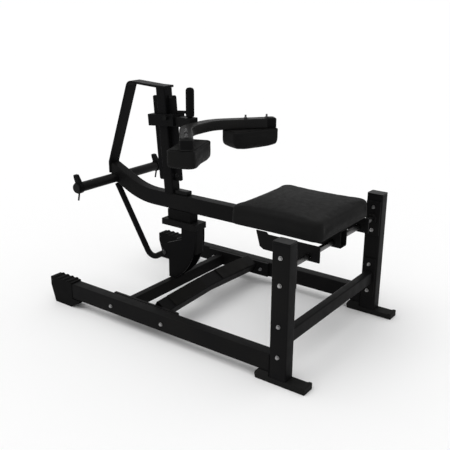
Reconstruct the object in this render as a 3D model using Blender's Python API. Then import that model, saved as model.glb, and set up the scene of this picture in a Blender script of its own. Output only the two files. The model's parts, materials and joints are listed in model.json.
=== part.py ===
"""A seated calf raise machine: a welded base, a lever with seat and mast, and a sliding yoke.

Metres, +Z up. The user faces -X, so the left side is -Y. The origin is on the floor, under the
middle of the machine's outer box.
"""
import math

import bmesh
import bpy
from mathutils import Vector

# Clearances
seat_gap = 0.0003          # between pieces that touch
running_gap = 0.0005       # around a pin or shaft that turns
slide_gap = 0.0010         # around what slides along the mast

# Tubes and plates
tube_wall = 0.003
tube_corner = 0.006
frame_tube_tall = 0.080
frame_tube_wide = 0.060
cross_tube_tall = 0.060
cross_tube_deep = 0.040

# Frame, measured from the middle of the machine
track_half = 0.417         # from the middle plane to the middle of each side frame
upright_x = 0.620
upright_above_shaft = 0.112
rail_low = 0.047
rail_front_x = -0.735
cap_height = 0.008
cap_plug = 0.020
cut_over = 0.020              # how far a cutter reaches past what it cuts
plate_round = 0.0015

# Rear feet
foot_ahead = 0.066            # how far a foot reaches ahead of its upright's front face
foot_behind = 0.091
foot_thick = 0.025
foot_lip = 0.005
foot_lip_deep = 0.012
foot_nose = 0.014
foot_side = 0.003

# Front boots
boot_ahead = 0.016            # how far a boot reaches past its rail's front end
boot_length = 0.155
boot_heel = 0.048
boot_heel_round = 0.012
boot_wall = 0.0025
boot_lean = 0.027             # how much the front edge falls back down to the floor
boot_crown = 0.006
boot_tooth_depth = 0.005
boot_tooth_pitch = 0.034
boot_tooth_count = 4

# Rail plates, cross tube and foot bar
rail_plate_ahead = 0.080      # from the cross tube's middle to a rail plate's front end
rail_plate_behind = 0.117     # from the foot bar's middle to its rear end
rail_plate_thick = 0.016
rail_plate_inset = 0.003
cross_tube_x = -0.280
foot_bar_x = -0.076
foot_bar_z = 0.1205
foot_bar_width = 0.073
foot_bar_depth = 0.060
foot_bar_tilt = math.radians(30.0)
foot_bar_fall = math.radians(2.5)
tread_inner = 0.066
tread_outer = 0.306
tread_thick = 0.005
tread_margin = 0.003

# Rear beam
beam_z = 0.1965
end_plate_thick = 0.008
beam_plate_half_tall = 0.099
beam_plate_deep = 0.066

# Pivot shaft
shaft_z = 0.500
shaft_radius = 0.0125
flange_half_deep = 0.036
flange_half_tall = 0.0835
flange_boss_radius = 0.024
flange_boss_length = 0.016

# Frame bolts through the uprights
bolt_radius = 0.006
bolt_head_radius = 0.011
bolt_head_high = 0.006
bolt_end = 0.006              # how far a bolt stands out of the plate that it holds
shaft_bolt_above = 0.057
shaft_bolt_below = 0.058

# Stop post
stem_x = -0.284
stem_top = 0.285
cheek_gap_half = 0.030
cheek_thick = 0.010
cheek_above = 0.0007          # over the stem's foot
cheek_toe = 0.043             # how far the rear edge starts behind the stem
cheek_rise = 0.032
cheek_sweep = 0.274           # radius of the rear edge
cheek_slot = 0.061
cheek_ear = 0.027             # around the catch's pin
bumper_round = 0.004
neck_behind = 0.067           # from the stem's middle to the neck's front face
neck_deep = 0.087
neck_low = 0.262
stop_plate_thick = 0.032
stop_plate_ahead = 0.057
stop_plate_behind = 0.160
stop_plate_half = 0.045
bumper_ahead = 0.030
bumper_behind = 0.120
bumper_tall = 0.0534
bumper_half = 0.030

# Safety catch
catch_pivot_ahead = 0.047     # from the stem's middle to the catch's pin
catch_pivot_z = 0.236
catch_radius = 0.0155
catch_tip_x = -0.692
catch_tip_z = 0.540
catch_elbow_x = -0.462
catch_elbow_z = 0.158
catch_elbow_radius = 0.050
catch_eye_radius = 0.020
catch_eye_half = 0.018
catch_pin_radius = 0.006
catch_pin_head_radius = 0.0105
catch_pin_head_high = 0.005

# Lever arm
arm_past_shaft = 0.041
arm_front_x = -0.706
arm_below_shaft = 0.023       # from the shaft's middle down to the arm's underside
arm_curve_x = -0.406
arm_curve_radius = 0.410
arm_curve_angle = math.radians(25.0)
arm_curve_steps = 10
arm_run_on = 0.150

# Weight bar and collars
bar_behind_end = 0.034        # from the arm's front end back to the bar's middle
bar_below_middle = 0.0177     # under the arm's middle line
bar_radius = 0.025
bar_half_length = 0.311
collar_middle = 0.290
collar_width = 0.022
collar_wall = 0.004
collar_tab_thick = 0.018
collar_tab_high = 0.036
collar_tab_lean = 0.026
collar_prong_length = 0.039
collar_prong_radius = 0.0045
collar_prong_lean = 0.010

# Cushions: half the width of the small face that closes a crown's middle
pillow_middle = 0.006

# Seat
seat_length = 0.456
seat_half_width = 0.235
seat_past_arm = 0.010
seat_corner = 0.040
seat_thick = 0.084
seat_crown = 0.010
seat_draw_in = 0.004
seat_round = 0.014
board_thick = 0.012
board_inset = 0.020
seat_plate_inside = 0.004
seat_plate_past_arm = 0.010
seat_plate_thick = 0.008
seat_plate_length = 0.310
seat_plate_lead = 0.020
seat_plate_tab = 0.060
seat_plate_slit = 0.009
seat_plate_chamfer_x = 0.040
seat_plate_chamfer_z = 0.011

# Mast, in its own leaning frame that starts on the arm's top
mast_x = -0.3045
mast_lean = math.radians(4.6)
mast_wide = 0.060
mast_deep = 0.056
mast_length = 0.522
fin_deep = 0.044
fin_corner = 0.006
fin_thick = 0.010
fin_low = 0.062
fin_high = 0.484
fin_hole_radius = 0.0115
fin_hole_offset = 0.0155
fin_hole_first = 0.0885
fin_hole_pitch = 0.098
fin_hole_steps = (0, 1, 3, 4)
pin_step = 3

# Strap brace between the mast's top and the arm's front
strap_width = 0.070
strap_thick = 0.011
strap_past_mast = 0.034       # from the mast's top, measured backwards
strap_reach = 0.2086          # from the mast's top forwards to the strap's bend
strap_rise = 0.010            # from the mast's top up to the bend
strap_bend_radius = 0.030
strap_kink_above = 0.0455     # above the middle of the arm's front end
strap_foot_below = 0.0145
strap_arc_steps = 8

# Lug on the arm behind the mast
lug_behind_mast = 0.034
lug_length = 0.078
lug_high = 0.021
lug_half = 0.020
lug_round = 0.004

# Carriage on the mast
sleeve_half_deep = 0.081
sleeve_half_wide = 0.045
sleeve_height = 0.057
pin_above_sleeve = 0.014      # from the sleeve's middle up to the pin
carriage_stem_wide = 0.060
carriage_stem_tall = 0.047
stem_above_pin = 0.0085       # from the pin up to the stem's top
stem_over_yoke = 0.0177       # how far the stem's top stands over the yoke's

# Pull pin through the sleeve and the fin
pull_pin_radius = 0.010
pull_pin_travel = 0.012
pull_pin_head_radius = 0.0115
pull_pin_head_high = 0.006

# Grip
grip_x = -0.183
grip_radius = 0.0205
grip_length = 0.1427
grip_round = 0.015
strut_tall = 0.014
strut_wide = 0.013

# Yoke and its pads
yoke_width = 0.060
yoke_height = 0.048
yoke_back_x = -0.159
yoke_bend_half = 0.110
yoke_sweep = math.radians(40.0)
yoke_reach = 0.236            # from the yoke's front edge back to its ends
yoke_bend_radius = 0.175
yoke_bend_steps = 7
yoke_cap = 0.004
pad_x = 0.005
pad_y = 0.238
pad_sweep = math.radians(21.0)
pad_half_length = 0.133
pad_half_deep = 0.066
pad_tall = 0.0925
pad_corner = 0.020
pad_round = 0.012
pad_crown = 0.004
pad_draw_in = 0.002
pad_end_radius = 0.042
pad_end_lift_limit = 0.034
pad_board_thick = 0.010
pad_board_inset = 0.012
pad_bolt_from_end = (0.042, 0.150)
pad_bolt_radius = 0.005
pad_bolt_above = 0.018
pad_bolt_below = 0.0098
pad_bolt_cap_radius = 0.009
pad_nut_high = 0.006

SIDES = (("left", -1.0), ("right", 1.0))

# Values that follow from the ones above
rail_high = rail_low + frame_tube_tall
rail_middle_z = rail_low + frame_tube_tall / 2
upright_top = shaft_z + upright_above_shaft
upright_front_x = upright_x - frame_tube_tall / 2
upright_rear_x = upright_x + frame_tube_tall / 2
inner_face = track_half - frame_tube_wide / 2
outer_face = track_half + frame_tube_wide / 2
cross_end = inner_face - rail_plate_thick - 2 * seat_gap
shaft_bolt_heights = (shaft_z + shaft_bolt_above, shaft_z - shaft_bolt_below)
foot_front_x = upright_front_x - foot_ahead
foot_rear_x = upright_rear_x + foot_behind
boot_front_x = rail_front_x - boot_ahead
boot_rear_x = boot_front_x + boot_length
rail_plate_front_x = cross_tube_x - rail_plate_ahead
rail_plate_rear_x = foot_bar_x + rail_plate_behind
arm_low = shaft_z - arm_below_shaft
arm_high = arm_low + frame_tube_tall
arm_middle_z = (arm_low + arm_high) / 2
arm_rear_x = upright_x + arm_past_shaft
bumper_high = arm_low - seat_gap
stop_plate_high = bumper_high - bumper_tall - seat_gap
stop_plate_low = stop_plate_high - stop_plate_thick
neck_front_x = stem_x + neck_behind
neck_rear_x = neck_front_x + neck_deep
catch_pivot_x = stem_x - catch_pivot_ahead
arm_end_z = (arm_middle_z + arm_curve_radius * (1 - math.cos(arm_curve_angle))
             + math.tan(arm_curve_angle) * (arm_curve_x - arm_front_x
                                            - arm_curve_radius * math.sin(arm_curve_angle)))
bar_x = arm_front_x + bar_behind_end
bar_z = arm_end_z - bar_behind_end * math.tan(arm_curve_angle) - bar_below_middle
seat_rear_x = arm_rear_x + seat_past_arm
seat_front_x = seat_rear_x - seat_length
seat_plate_rear_x = arm_rear_x + seat_plate_past_arm
seat_plate_front_x = seat_plate_rear_x - seat_plate_length
seat_plate_outer = seat_half_width - seat_plate_inside
board_low = arm_high + seat_gap
mast_foot_z = arm_high + seat_gap
mast_top_x = mast_x - mast_length * math.sin(mast_lean)
strap_low = mast_foot_z + mast_length * math.cos(mast_lean) + seat_gap
pin_height = fin_hole_first + pin_step * fin_hole_pitch
sleeve_middle = pin_height - pin_above_sleeve
carriage_stem_high = mast_foot_z + pin_height * math.cos(mast_lean) + stem_above_pin
carriage_stem_low = carriage_stem_high - carriage_stem_tall
yoke_high = carriage_stem_high - stem_over_yoke
yoke_low = yoke_high - yoke_height
yoke_end_x = yoke_back_x + yoke_reach
pad_top = yoke_low - seat_gap
grip_low = carriage_stem_high + seat_gap


# Materials
def paint(name, colour, roughness, metallic=0.0):
    """A material with one colour, roughness and metallic value."""
    material = bpy.data.materials.new(name)
    material.use_nodes = True
    shader = material.node_tree.nodes["Principled BSDF"]
    shader.inputs["Base Color"].default_value = (*colour, 1.0)
    shader.inputs["Roughness"].default_value = roughness
    shader.inputs["Metallic"].default_value = metallic
    return material


def clear_scene():
    """Remove whatever the scene holds."""
    for item in list(bpy.data.objects):
        bpy.data.objects.remove(item, do_unlink=True)


def empty(name, place, parent=None, rotation=(0.0, 0.0, 0.0)):
    """An empty that carries the pieces of one body."""
    holder = bpy.data.objects.new(name, None)
    bpy.context.scene.collection.objects.link(holder)
    holder.location = Vector(place)
    holder.rotation_euler = rotation
    if parent is not None:
        holder.parent = parent
        holder.location = Vector(place) - place_of(parent)
    return holder


def place_of(holder):
    """Where an empty stands in the world, as long as those above it aren't turned."""
    if holder.parent is None:
        return holder.location.copy()
    return holder.location + place_of(holder.parent)


def leans(holder):
    """Whether an empty, or one above it, leans with the mast."""
    return holder is not None and (holder.rotation_euler.y != 0.0 or leans(holder.parent))


def add(name, bm, material, parent):
    """Turn a bmesh into an object carried by an empty.

    It is drawn in world places, or about the empty itself where that leans with the mast.
    """
    bmesh.ops.recalc_face_normals(bm, faces=bm.faces)
    mesh = bpy.data.meshes.new(name)
    bm.to_mesh(mesh)
    bm.free()
    piece = bpy.data.objects.new(name, mesh)
    bpy.context.scene.collection.objects.link(piece)
    piece.data.materials.append(material)
    piece.parent = parent
    if not leans(parent):
        piece.location = -place_of(parent)
    return piece


def smooth(piece, angle=35.0):
    """Shade a round piece smooth and keep its hard edges."""
    piece.data.shade_smooth()
    piece.data.set_sharp_from_angle(angle=math.radians(angle))
    return piece


def soften(piece, width, segments=2):
    """Round a piece's sharp edges a little."""
    bevel = piece.modifiers.new("edges", "BEVEL")
    bevel.width = width
    bevel.segments = segments
    bevel.limit_method = "ANGLE"
    bevel.angle_limit = math.radians(40.0)
    return piece


def cut(piece, bm, label):
    """Take a cutter's space out of a piece."""
    bmesh.ops.recalc_face_normals(bm, faces=bm.faces)
    mesh = bpy.data.meshes.new(label)
    bm.to_mesh(mesh)
    bm.free()
    cutter = bpy.data.objects.new(label, mesh)
    bpy.context.scene.collection.objects.link(cutter)
    cutter.parent = piece.parent
    cutter.location = piece.location
    cutter.hide_render = True
    cutter.display_type = "WIRE"
    boolean = piece.modifiers.new(label, "BOOLEAN")
    boolean.operation = "DIFFERENCE"
    boolean.object = cutter
    return piece


# Shapes
def block(bm, xs, ys, zs):
    """Add a box between the given lowest and highest values."""
    made = bmesh.ops.create_cube(bm, size=1.0)["verts"]
    size = Vector((xs[1] - xs[0], ys[1] - ys[0], zs[1] - zs[0]))
    middle = Vector((xs[0] + xs[1], ys[0] + ys[1], zs[0] + zs[1])) / 2
    bmesh.ops.scale(bm, vec=size, verts=made)
    bmesh.ops.translate(bm, vec=middle, verts=made)
    return bm


def rod(bm, start, end, radius, segments=24):
    """Add a closed cylinder between two points."""
    start, end = Vector(start), Vector(end)
    made = bmesh.ops.create_cone(bm, cap_ends=True, segments=segments, radius1=radius,
                                 radius2=radius, depth=(end - start).length)["verts"]
    turn = (end - start).to_track_quat("Z", "Y").to_matrix()
    bmesh.ops.rotate(bm, cent=(0, 0, 0), matrix=turn, verts=made)
    bmesh.ops.translate(bm, vec=(start + end) / 2, verts=made)
    return bm


def slab(bm, outline, axis, low, high):
    """Add a plate: an outline in the two other axes, carried along one axis."""
    def point(pair, level):
        values = list(pair)
        values.insert(axis, level)
        return Vector(values)
    face = bm.faces.new([bm.verts.new(point(pair, low)) for pair in outline])
    grown = bmesh.ops.extrude_face_region(bm, geom=[face])["geom"]
    verts = [item for item in grown if isinstance(item, bmesh.types.BMVert)]
    step = Vector((0, 0, 0))
    step[axis] = high - low
    bmesh.ops.translate(bm, vec=step, verts=verts)
    return bm


def rounded(width, height, corner, steps=2):
    """The outline of a rectangle with round corners, about its middle."""
    points = []
    for turn in range(4):
        sign_x, sign_y = ((1, 1), (-1, 1), (-1, -1), (1, -1))[turn]
        middle = (sign_x * (width / 2 - corner), sign_y * (height / 2 - corner))
        for step in range(steps + 1):
            angle = math.pi / 2 * (turn + step / steps)
            points.append((middle[0] + corner * math.cos(angle),
                           middle[1] + corner * math.sin(angle)))
    return points


def circle(radius, count):
    """The outline of a circle about its middle."""
    return [(radius * math.cos(2 * math.pi * i / count), radius * math.sin(2 * math.pi * i / count))
            for i in range(count)]


def arc(centre, radius, start, end, steps):
    """Points along an arc, angles in radians."""
    return [(centre[0] + radius * math.cos(start + (end - start) * i / steps),
             centre[1] + radius * math.sin(start + (end - start) * i / steps))
            for i in range(steps + 1)]


def round_corners(points, radius, steps):
    """A flat path whose inner corners become arcs of one radius."""
    path = [Vector(points[0])]
    for before, corner, after in zip(points, points[1:], points[2:]):
        corner = Vector(corner)
        back = (Vector(before) - corner).normalized()
        ahead = (Vector(after) - corner).normalized()
        half = back.angle(ahead) / 2
        reach = radius / math.tan(half)
        middle = corner + (back + ahead).normalized() * radius / math.sin(half)
        first, last = corner + back * reach - middle, corner + ahead * reach - middle
        start = math.atan2(first.y, first.x)
        turn = math.remainder(math.atan2(last.y, last.x) - start, 2 * math.pi)
        path += [Vector(point) for point in arc(middle, radius, start, start + turn, steps)]
    path.append(Vector(points[-1]))
    return path


def rings_along(path, section, plane):
    """Cross sections along a flat path: section pairs are across the path and out of its plane."""
    rings = []
    path = [Vector(point) for point in path]
    for i, point in enumerate(path):
        ahead = (path[i + 1] - point).normalized() if i + 1 < len(path) else None
        behind = (point - path[i - 1]).normalized() if i else None
        ahead = ahead or behind
        behind = behind or ahead
        tangent = (ahead + behind).normalized()
        normal = Vector((-tangent.y, tangent.x)) / tangent.dot(ahead)
        ring = []
        for across, out in section:
            place = point + normal * across
            ring.append(Vector((place.x, out, place.y)) if plane == "XZ"
                        else Vector((place.x, place.y, out)))
        rings.append(ring)
    return rings


def skin(bm, rings, closed_ends=True):
    """Join rings of equal count with quads and close the two ends."""
    rows = [[bm.verts.new(point) for point in ring] for ring in rings]
    for first, second in zip(rows, rows[1:]):
        for i in range(len(first)):
            j = (i + 1) % len(first)
            bm.faces.new((first[i], first[j], second[j], second[i]))
    if closed_ends:
        bm.faces.new(list(reversed(rows[0])))
        bm.faces.new(rows[-1])
    return rows


def hollow_skin(bm, outer_rings, inner_rings):
    """A tube wall between outer and inner rings, open at both ends."""
    outer = skin(bm, outer_rings, closed_ends=False)
    inner = skin(bm, inner_rings, closed_ends=False)
    for out_row, in_row in ((outer[0], inner[0]), (outer[-1], inner[-1])):
        for i in range(len(out_row)):
            j = (i + 1) % len(out_row)
            bm.faces.new((out_row[i], out_row[j], in_row[j], in_row[i]))
    return bm


def box_tube(bm, axis, low, high, middle, size):
    """A straight rectangular tube along one axis: middle and size in the two other axes."""
    outer = rounded(size[0], size[1], tube_corner)
    inner = rounded(size[0] - 2 * tube_wall, size[1] - 2 * tube_wall, tube_corner - tube_wall)
    both = []
    for outline in (outer, inner):
        rings = []
        for level in (low, high):
            ring = []
            for pair in outline:
                values = [pair[0] + middle[0], pair[1] + middle[1]]
                values.insert(axis, level)
                ring.append(Vector(values))
            rings.append(ring)
        both.append(rings)
    return hollow_skin(bm, *both)


# Cushions
def pillow_outline(half_x, half_y, corner, inset, draw_in, side_steps=5, corner_steps=6):
    """A rounded rectangle drawn in by a little between its corners."""
    hx, hy = half_x - inset, half_y - inset
    radius = max(corner - inset, 0.004)
    points = []
    for turn in range(4):
        sign_x, sign_y = ((1, 1), (-1, 1), (-1, -1), (1, -1))[turn]
        centre = (sign_x * (hx - radius), sign_y * (hy - radius))
        for step in range(corner_steps + 1):
            angle = math.pi / 2 * (turn + step / corner_steps)
            points.append((centre[0] + radius * math.cos(angle),
                           centre[1] + radius * math.sin(angle)))
        for step in range(1, side_steps + 1):
            along = 2 * step / (side_steps + 1) - 1
            pull = draw_in * (1 - along * along)
            if turn == 0:
                points.append((-along * (hx - radius), hy - pull))
            elif turn == 1:
                points.append((-hx + pull, -along * (hy - radius)))
            elif turn == 2:
                points.append((along * (hx - radius), -hy + pull))
            else:
                points.append((hx - pull, along * (hy - radius)))
    return points


def pillow_rings(half_x, half_y, corner, height, edge, crown, draw_in, inset, board):
    """Rings of a crowned cushion with its flat side at 0 and a recess for its board there."""
    def ring(ring_inset, level, pull):
        return [(x, y, level) for x, y in
                pillow_outline(half_x, half_y, corner, ring_inset, pull)]
    recess = board + seat_gap
    rings = [ring(inset - seat_gap, recess, 0.0), ring(inset - seat_gap, 0.0, 0.0)]
    rings.append(ring(edge * 0.45, 0.0, draw_in * 0.5))
    rings.append(ring(edge * 0.12, edge * 0.35, draw_in * 0.8))
    rings.append(ring(0.0, height * 0.40, draw_in))
    for step in range(5):
        angle = math.pi / 2 * step / 4
        rings.append(ring(edge * (1 - math.cos(angle)),
                          height - edge + edge * math.sin(angle), draw_in))
    reach = min(half_x, half_y) - pillow_middle
    for share in (0.12, 0.28, 0.50, 0.75, 1.0):
        flat = ring(edge + (reach - edge) * share, height, draw_in * (1 - share))
        rings.append([(x, y, level + crown * (1 - (x / (half_x - edge)) ** 2)
                       * (1 - (y / (half_y - edge)) ** 2)) for x, y, level in flat])
    return rings


# The base
def build_base(frame, black, rubber, plastic, steel):
    """The side frames, feet, boots, cross members, shaft and frame bolts."""
    foot_low = foot_thick + seat_gap
    for side, sign in SIDES:
        middle_y = sign * track_half
        upright = add(f"upright_{side}", box_tube(
            bmesh.new(), 2, foot_low, upright_top, (upright_x, middle_y),
            (frame_tube_tall, frame_tube_wide)), black, frame)
        for height in shaft_bolt_heights:
            reach = frame_tube_wide / 2 + cut_over
            cut(upright, rod(bmesh.new(), (upright_x, middle_y - reach, height),
                             (upright_x, middle_y + reach, height), bolt_radius + seat_gap),
                f"cut_upright_{side}_{round(height * 1000)}")
        cap = add(f"upright_cap_{side}", slab(
            bmesh.new(), [(x + upright_x, y + middle_y) for x, y in
                          rounded(frame_tube_tall, frame_tube_wide, tube_corner)],
            2, upright_top + seat_gap, upright_top + seat_gap + cap_height), plastic, frame)
        plug = bmesh.new()
        plug_wall = tube_wall + seat_gap
        slab(plug, [(x + upright_x, y + middle_y) for x, y in
                    rounded(frame_tube_tall - 2 * plug_wall, frame_tube_wide - 2 * plug_wall,
                            tube_corner - tube_wall)],
             2, upright_top - cap_plug, upright_top + seat_gap + cap_height / 2)
        join(cap, plug, f"join_cap_{side}")
        build_rear_foot(frame, rubber, side, middle_y)
        add(f"base_rail_{side}", box_tube(
            bmesh.new(), 0, rail_front_x, upright_front_x - seat_gap,
            (middle_y, rail_middle_z), (frame_tube_wide, frame_tube_tall)), black, frame)
        build_boot(frame, rubber, side, middle_y)
        inner = sorted((sign * (inner_face - seat_gap),
                        sign * (inner_face - seat_gap - rail_plate_thick)))
        plate = block(bmesh.new(), (rail_plate_front_x, rail_plate_rear_x), inner,
                      (rail_low + rail_plate_inset, rail_high))
        soften(add(f"rail_plate_{side}", plate, black, frame), plate_round)
        build_upright_plates(frame, black, side, sign)
        for number, height in enumerate(shaft_bolt_heights, 1):
            add_frame_bolt(frame, steel, f"shaft_bolt_{side}_{number}", sign, height)
    add("cross_tube", box_tube(
        bmesh.new(), 1, -cross_end, cross_end,
        (cross_tube_x, rail_low + cross_tube_tall / 2),
        (cross_tube_deep, cross_tube_tall)), black, frame)
    beam_end = inner_face - end_plate_thick - 2 * seat_gap
    add("rear_beam", box_tube(
        bmesh.new(), 1, -beam_end, beam_end, (upright_x, beam_z),
        (cross_tube_deep, cross_tube_tall)), black, frame)
    smooth(add("pivot_shaft", rod(
        bmesh.new(), (upright_x, -(inner_face - seat_gap), shaft_z),
        (upright_x, inner_face - seat_gap, shaft_z), shaft_radius), steel, frame))
    build_foot_bar(frame, black, rubber)


def join(piece, bm, label):
    """Weld a second shape to a piece with a union."""
    cut(piece, bm, label)
    piece.modifiers[label].operation = "UNION"
    return piece


def build_rear_foot(frame, rubber, side, middle_y):
    """A rubber foot under an upright, with a rounded nose that carries the rail's end."""
    half = frame_tube_wide / 2 + foot_side
    top = rail_low - seat_gap
    step_x = upright_front_x - seat_gap
    lip_front_x = foot_rear_x - foot_lip_deep
    outline = [(foot_front_x, 0.0), (foot_rear_x, 0.0), (foot_rear_x, foot_thick + foot_lip),
               (lip_front_x, foot_thick + foot_lip), (lip_front_x - 2 * foot_lip, foot_thick),
               (step_x, foot_thick), (step_x, top)]
    nose_x = foot_front_x + 2 * foot_nose
    outline += arc((nose_x, foot_nose), top - foot_nose, math.pi / 2, math.pi * 0.93, 6)
    add(f"rear_foot_{side}", slab(bmesh.new(), outline, 1, middle_y - half, middle_y + half),
        rubber, frame)


def build_boot(frame, rubber, side, middle_y):
    """A rubber boot with a toothed top that covers a rail's front end and stands on the floor."""
    top = rail_high + boot_crown
    heel_x = boot_rear_x + boot_heel
    outline = [(boot_front_x + boot_lean, 0.0), (boot_rear_x - boot_heel_round, 0.0),
               (heel_x, rail_low - boot_heel_round), (heel_x, rail_low - seat_gap),
               (boot_rear_x, rail_low - seat_gap), (boot_rear_x, top)]
    first = (boot_front_x + boot_rear_x - boot_tooth_pitch * boot_tooth_count) / 2
    for tooth in reversed(range(boot_tooth_count)):
        start = first + tooth * boot_tooth_pitch
        for share, rise in ((0.80, 0.0), (0.65, boot_tooth_depth), (0.35, boot_tooth_depth),
                            (0.20, 0.0)):
            outline.append((start + share * boot_tooth_pitch, top + rise))
    outline += [(boot_front_x, top), (boot_front_x, rail_low + frame_tube_tall / 2)]
    half = frame_tube_wide / 2 + boot_wall
    boot = add(f"front_boot_{side}", slab(bmesh.new(), outline, 1, middle_y - half, middle_y + half),
               rubber, frame)
    half_pocket = frame_tube_wide / 2 + seat_gap
    pocket = block(bmesh.new(), (rail_front_x - seat_gap, heel_x + cut_over),
                   (middle_y - half_pocket, middle_y + half_pocket),
                   (rail_low - seat_gap, rail_high + seat_gap))
    cut(boot, pocket, f"cut_boot_{side}")


def build_upright_plates(frame, black, side, sign):
    """The plates inside an upright that hold the shaft and the rear beam."""
    outer_end = sign * (inner_face - seat_gap)
    inner_end = sign * (inner_face - seat_gap - end_plate_thick)
    inner = sorted((outer_end, inner_end))
    flange = block(bmesh.new(), (upright_x - flange_half_deep, upright_x + flange_half_deep), inner,
                   (shaft_z - flange_half_tall, shaft_z + flange_half_tall))
    plate = soften(add(f"shaft_flange_{side}", flange, black, frame), plate_round)
    boss_start = (outer_end + inner_end) / 2
    boss_end = inner_end - sign * flange_boss_length
    join(plate, rod(bmesh.new(), (upright_x, boss_start, shaft_z), (upright_x, boss_end, shaft_z),
                    flange_boss_radius), f"boss_{side}")
    cut(plate, rod(bmesh.new(), (upright_x, outer_end + sign * cut_over, shaft_z),
                   (upright_x, boss_end - sign * cut_over, shaft_z),
                   shaft_radius + seat_gap), f"bore_{side}")
    for height in shaft_bolt_heights:
        cut(plate, rod(bmesh.new(), (upright_x, outer_end + sign * cut_over, height),
                       (upright_x, inner_end - sign * cut_over, height),
                       bolt_radius + seat_gap), f"cut_flange_{side}_{round(height * 1000)}")
    beam = block(bmesh.new(), (upright_x - beam_plate_deep / 2, upright_x + beam_plate_deep / 2),
                 inner, (beam_z - beam_plate_half_tall, beam_z + beam_plate_half_tall))
    soften(add(f"beam_plate_{side}", beam, black, frame), plate_round)


def add_frame_bolt(frame, steel, name, sign, height):
    """A bolt from an upright's outer face through to the plate inside it."""
    face = sign * (outer_face + seat_gap)
    end = sign * (inner_face - end_plate_thick - seat_gap)
    bolt = add(name, rod(bmesh.new(), (upright_x, face + sign * bolt_head_high, height),
                         (upright_x, face, height), bolt_head_radius, 20), steel, frame)
    join(bolt, rod(bmesh.new(), (upright_x, face + sign * bolt_head_high / 2, height),
                   (upright_x, end - sign * bolt_end, height), bolt_radius, 16), f"shank_{name}")
    smooth(bolt)


def build_foot_bar(frame, black, rubber):
    """The tilted foot bar, highest in the middle, and its two rubber treads."""
    outer = rounded(foot_bar_width, foot_bar_depth, tube_corner)
    inner = rounded(foot_bar_width - 2 * tube_wall, foot_bar_depth - 2 * tube_wall,
                    tube_corner - tube_wall)
    def place(across, up, y):
        along_x = across * math.cos(foot_bar_tilt) + up * math.sin(foot_bar_tilt)
        along_z = -across * math.sin(foot_bar_tilt) + up * math.cos(foot_bar_tilt)
        return Vector((foot_bar_x + along_x, y,
                       foot_bar_z + along_z - abs(y) * math.tan(foot_bar_fall)))
    both = [[[place(u, v, y) for u, v in outline] for y in (-cross_end, 0.0, cross_end)]
            for outline in (outer, inner)]
    add("foot_bar", hollow_skin(bmesh.new(), *both), black, frame)
    low = foot_bar_depth / 2 + seat_gap
    half = foot_bar_width / 2 - tread_margin
    for side, sign in SIDES:
        section = [(-half, low), (half, low), (half, low + tread_thick), (-half, low + tread_thick)]
        rings = [[place(u, v, sign * y) for u, v in section] for y in (tread_inner, tread_outer)]
        tread = bmesh.new()
        skin(tread, rings)
        soften(add(f"foot_tread_{side}", tread, rubber, frame), 0.0012)


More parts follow.
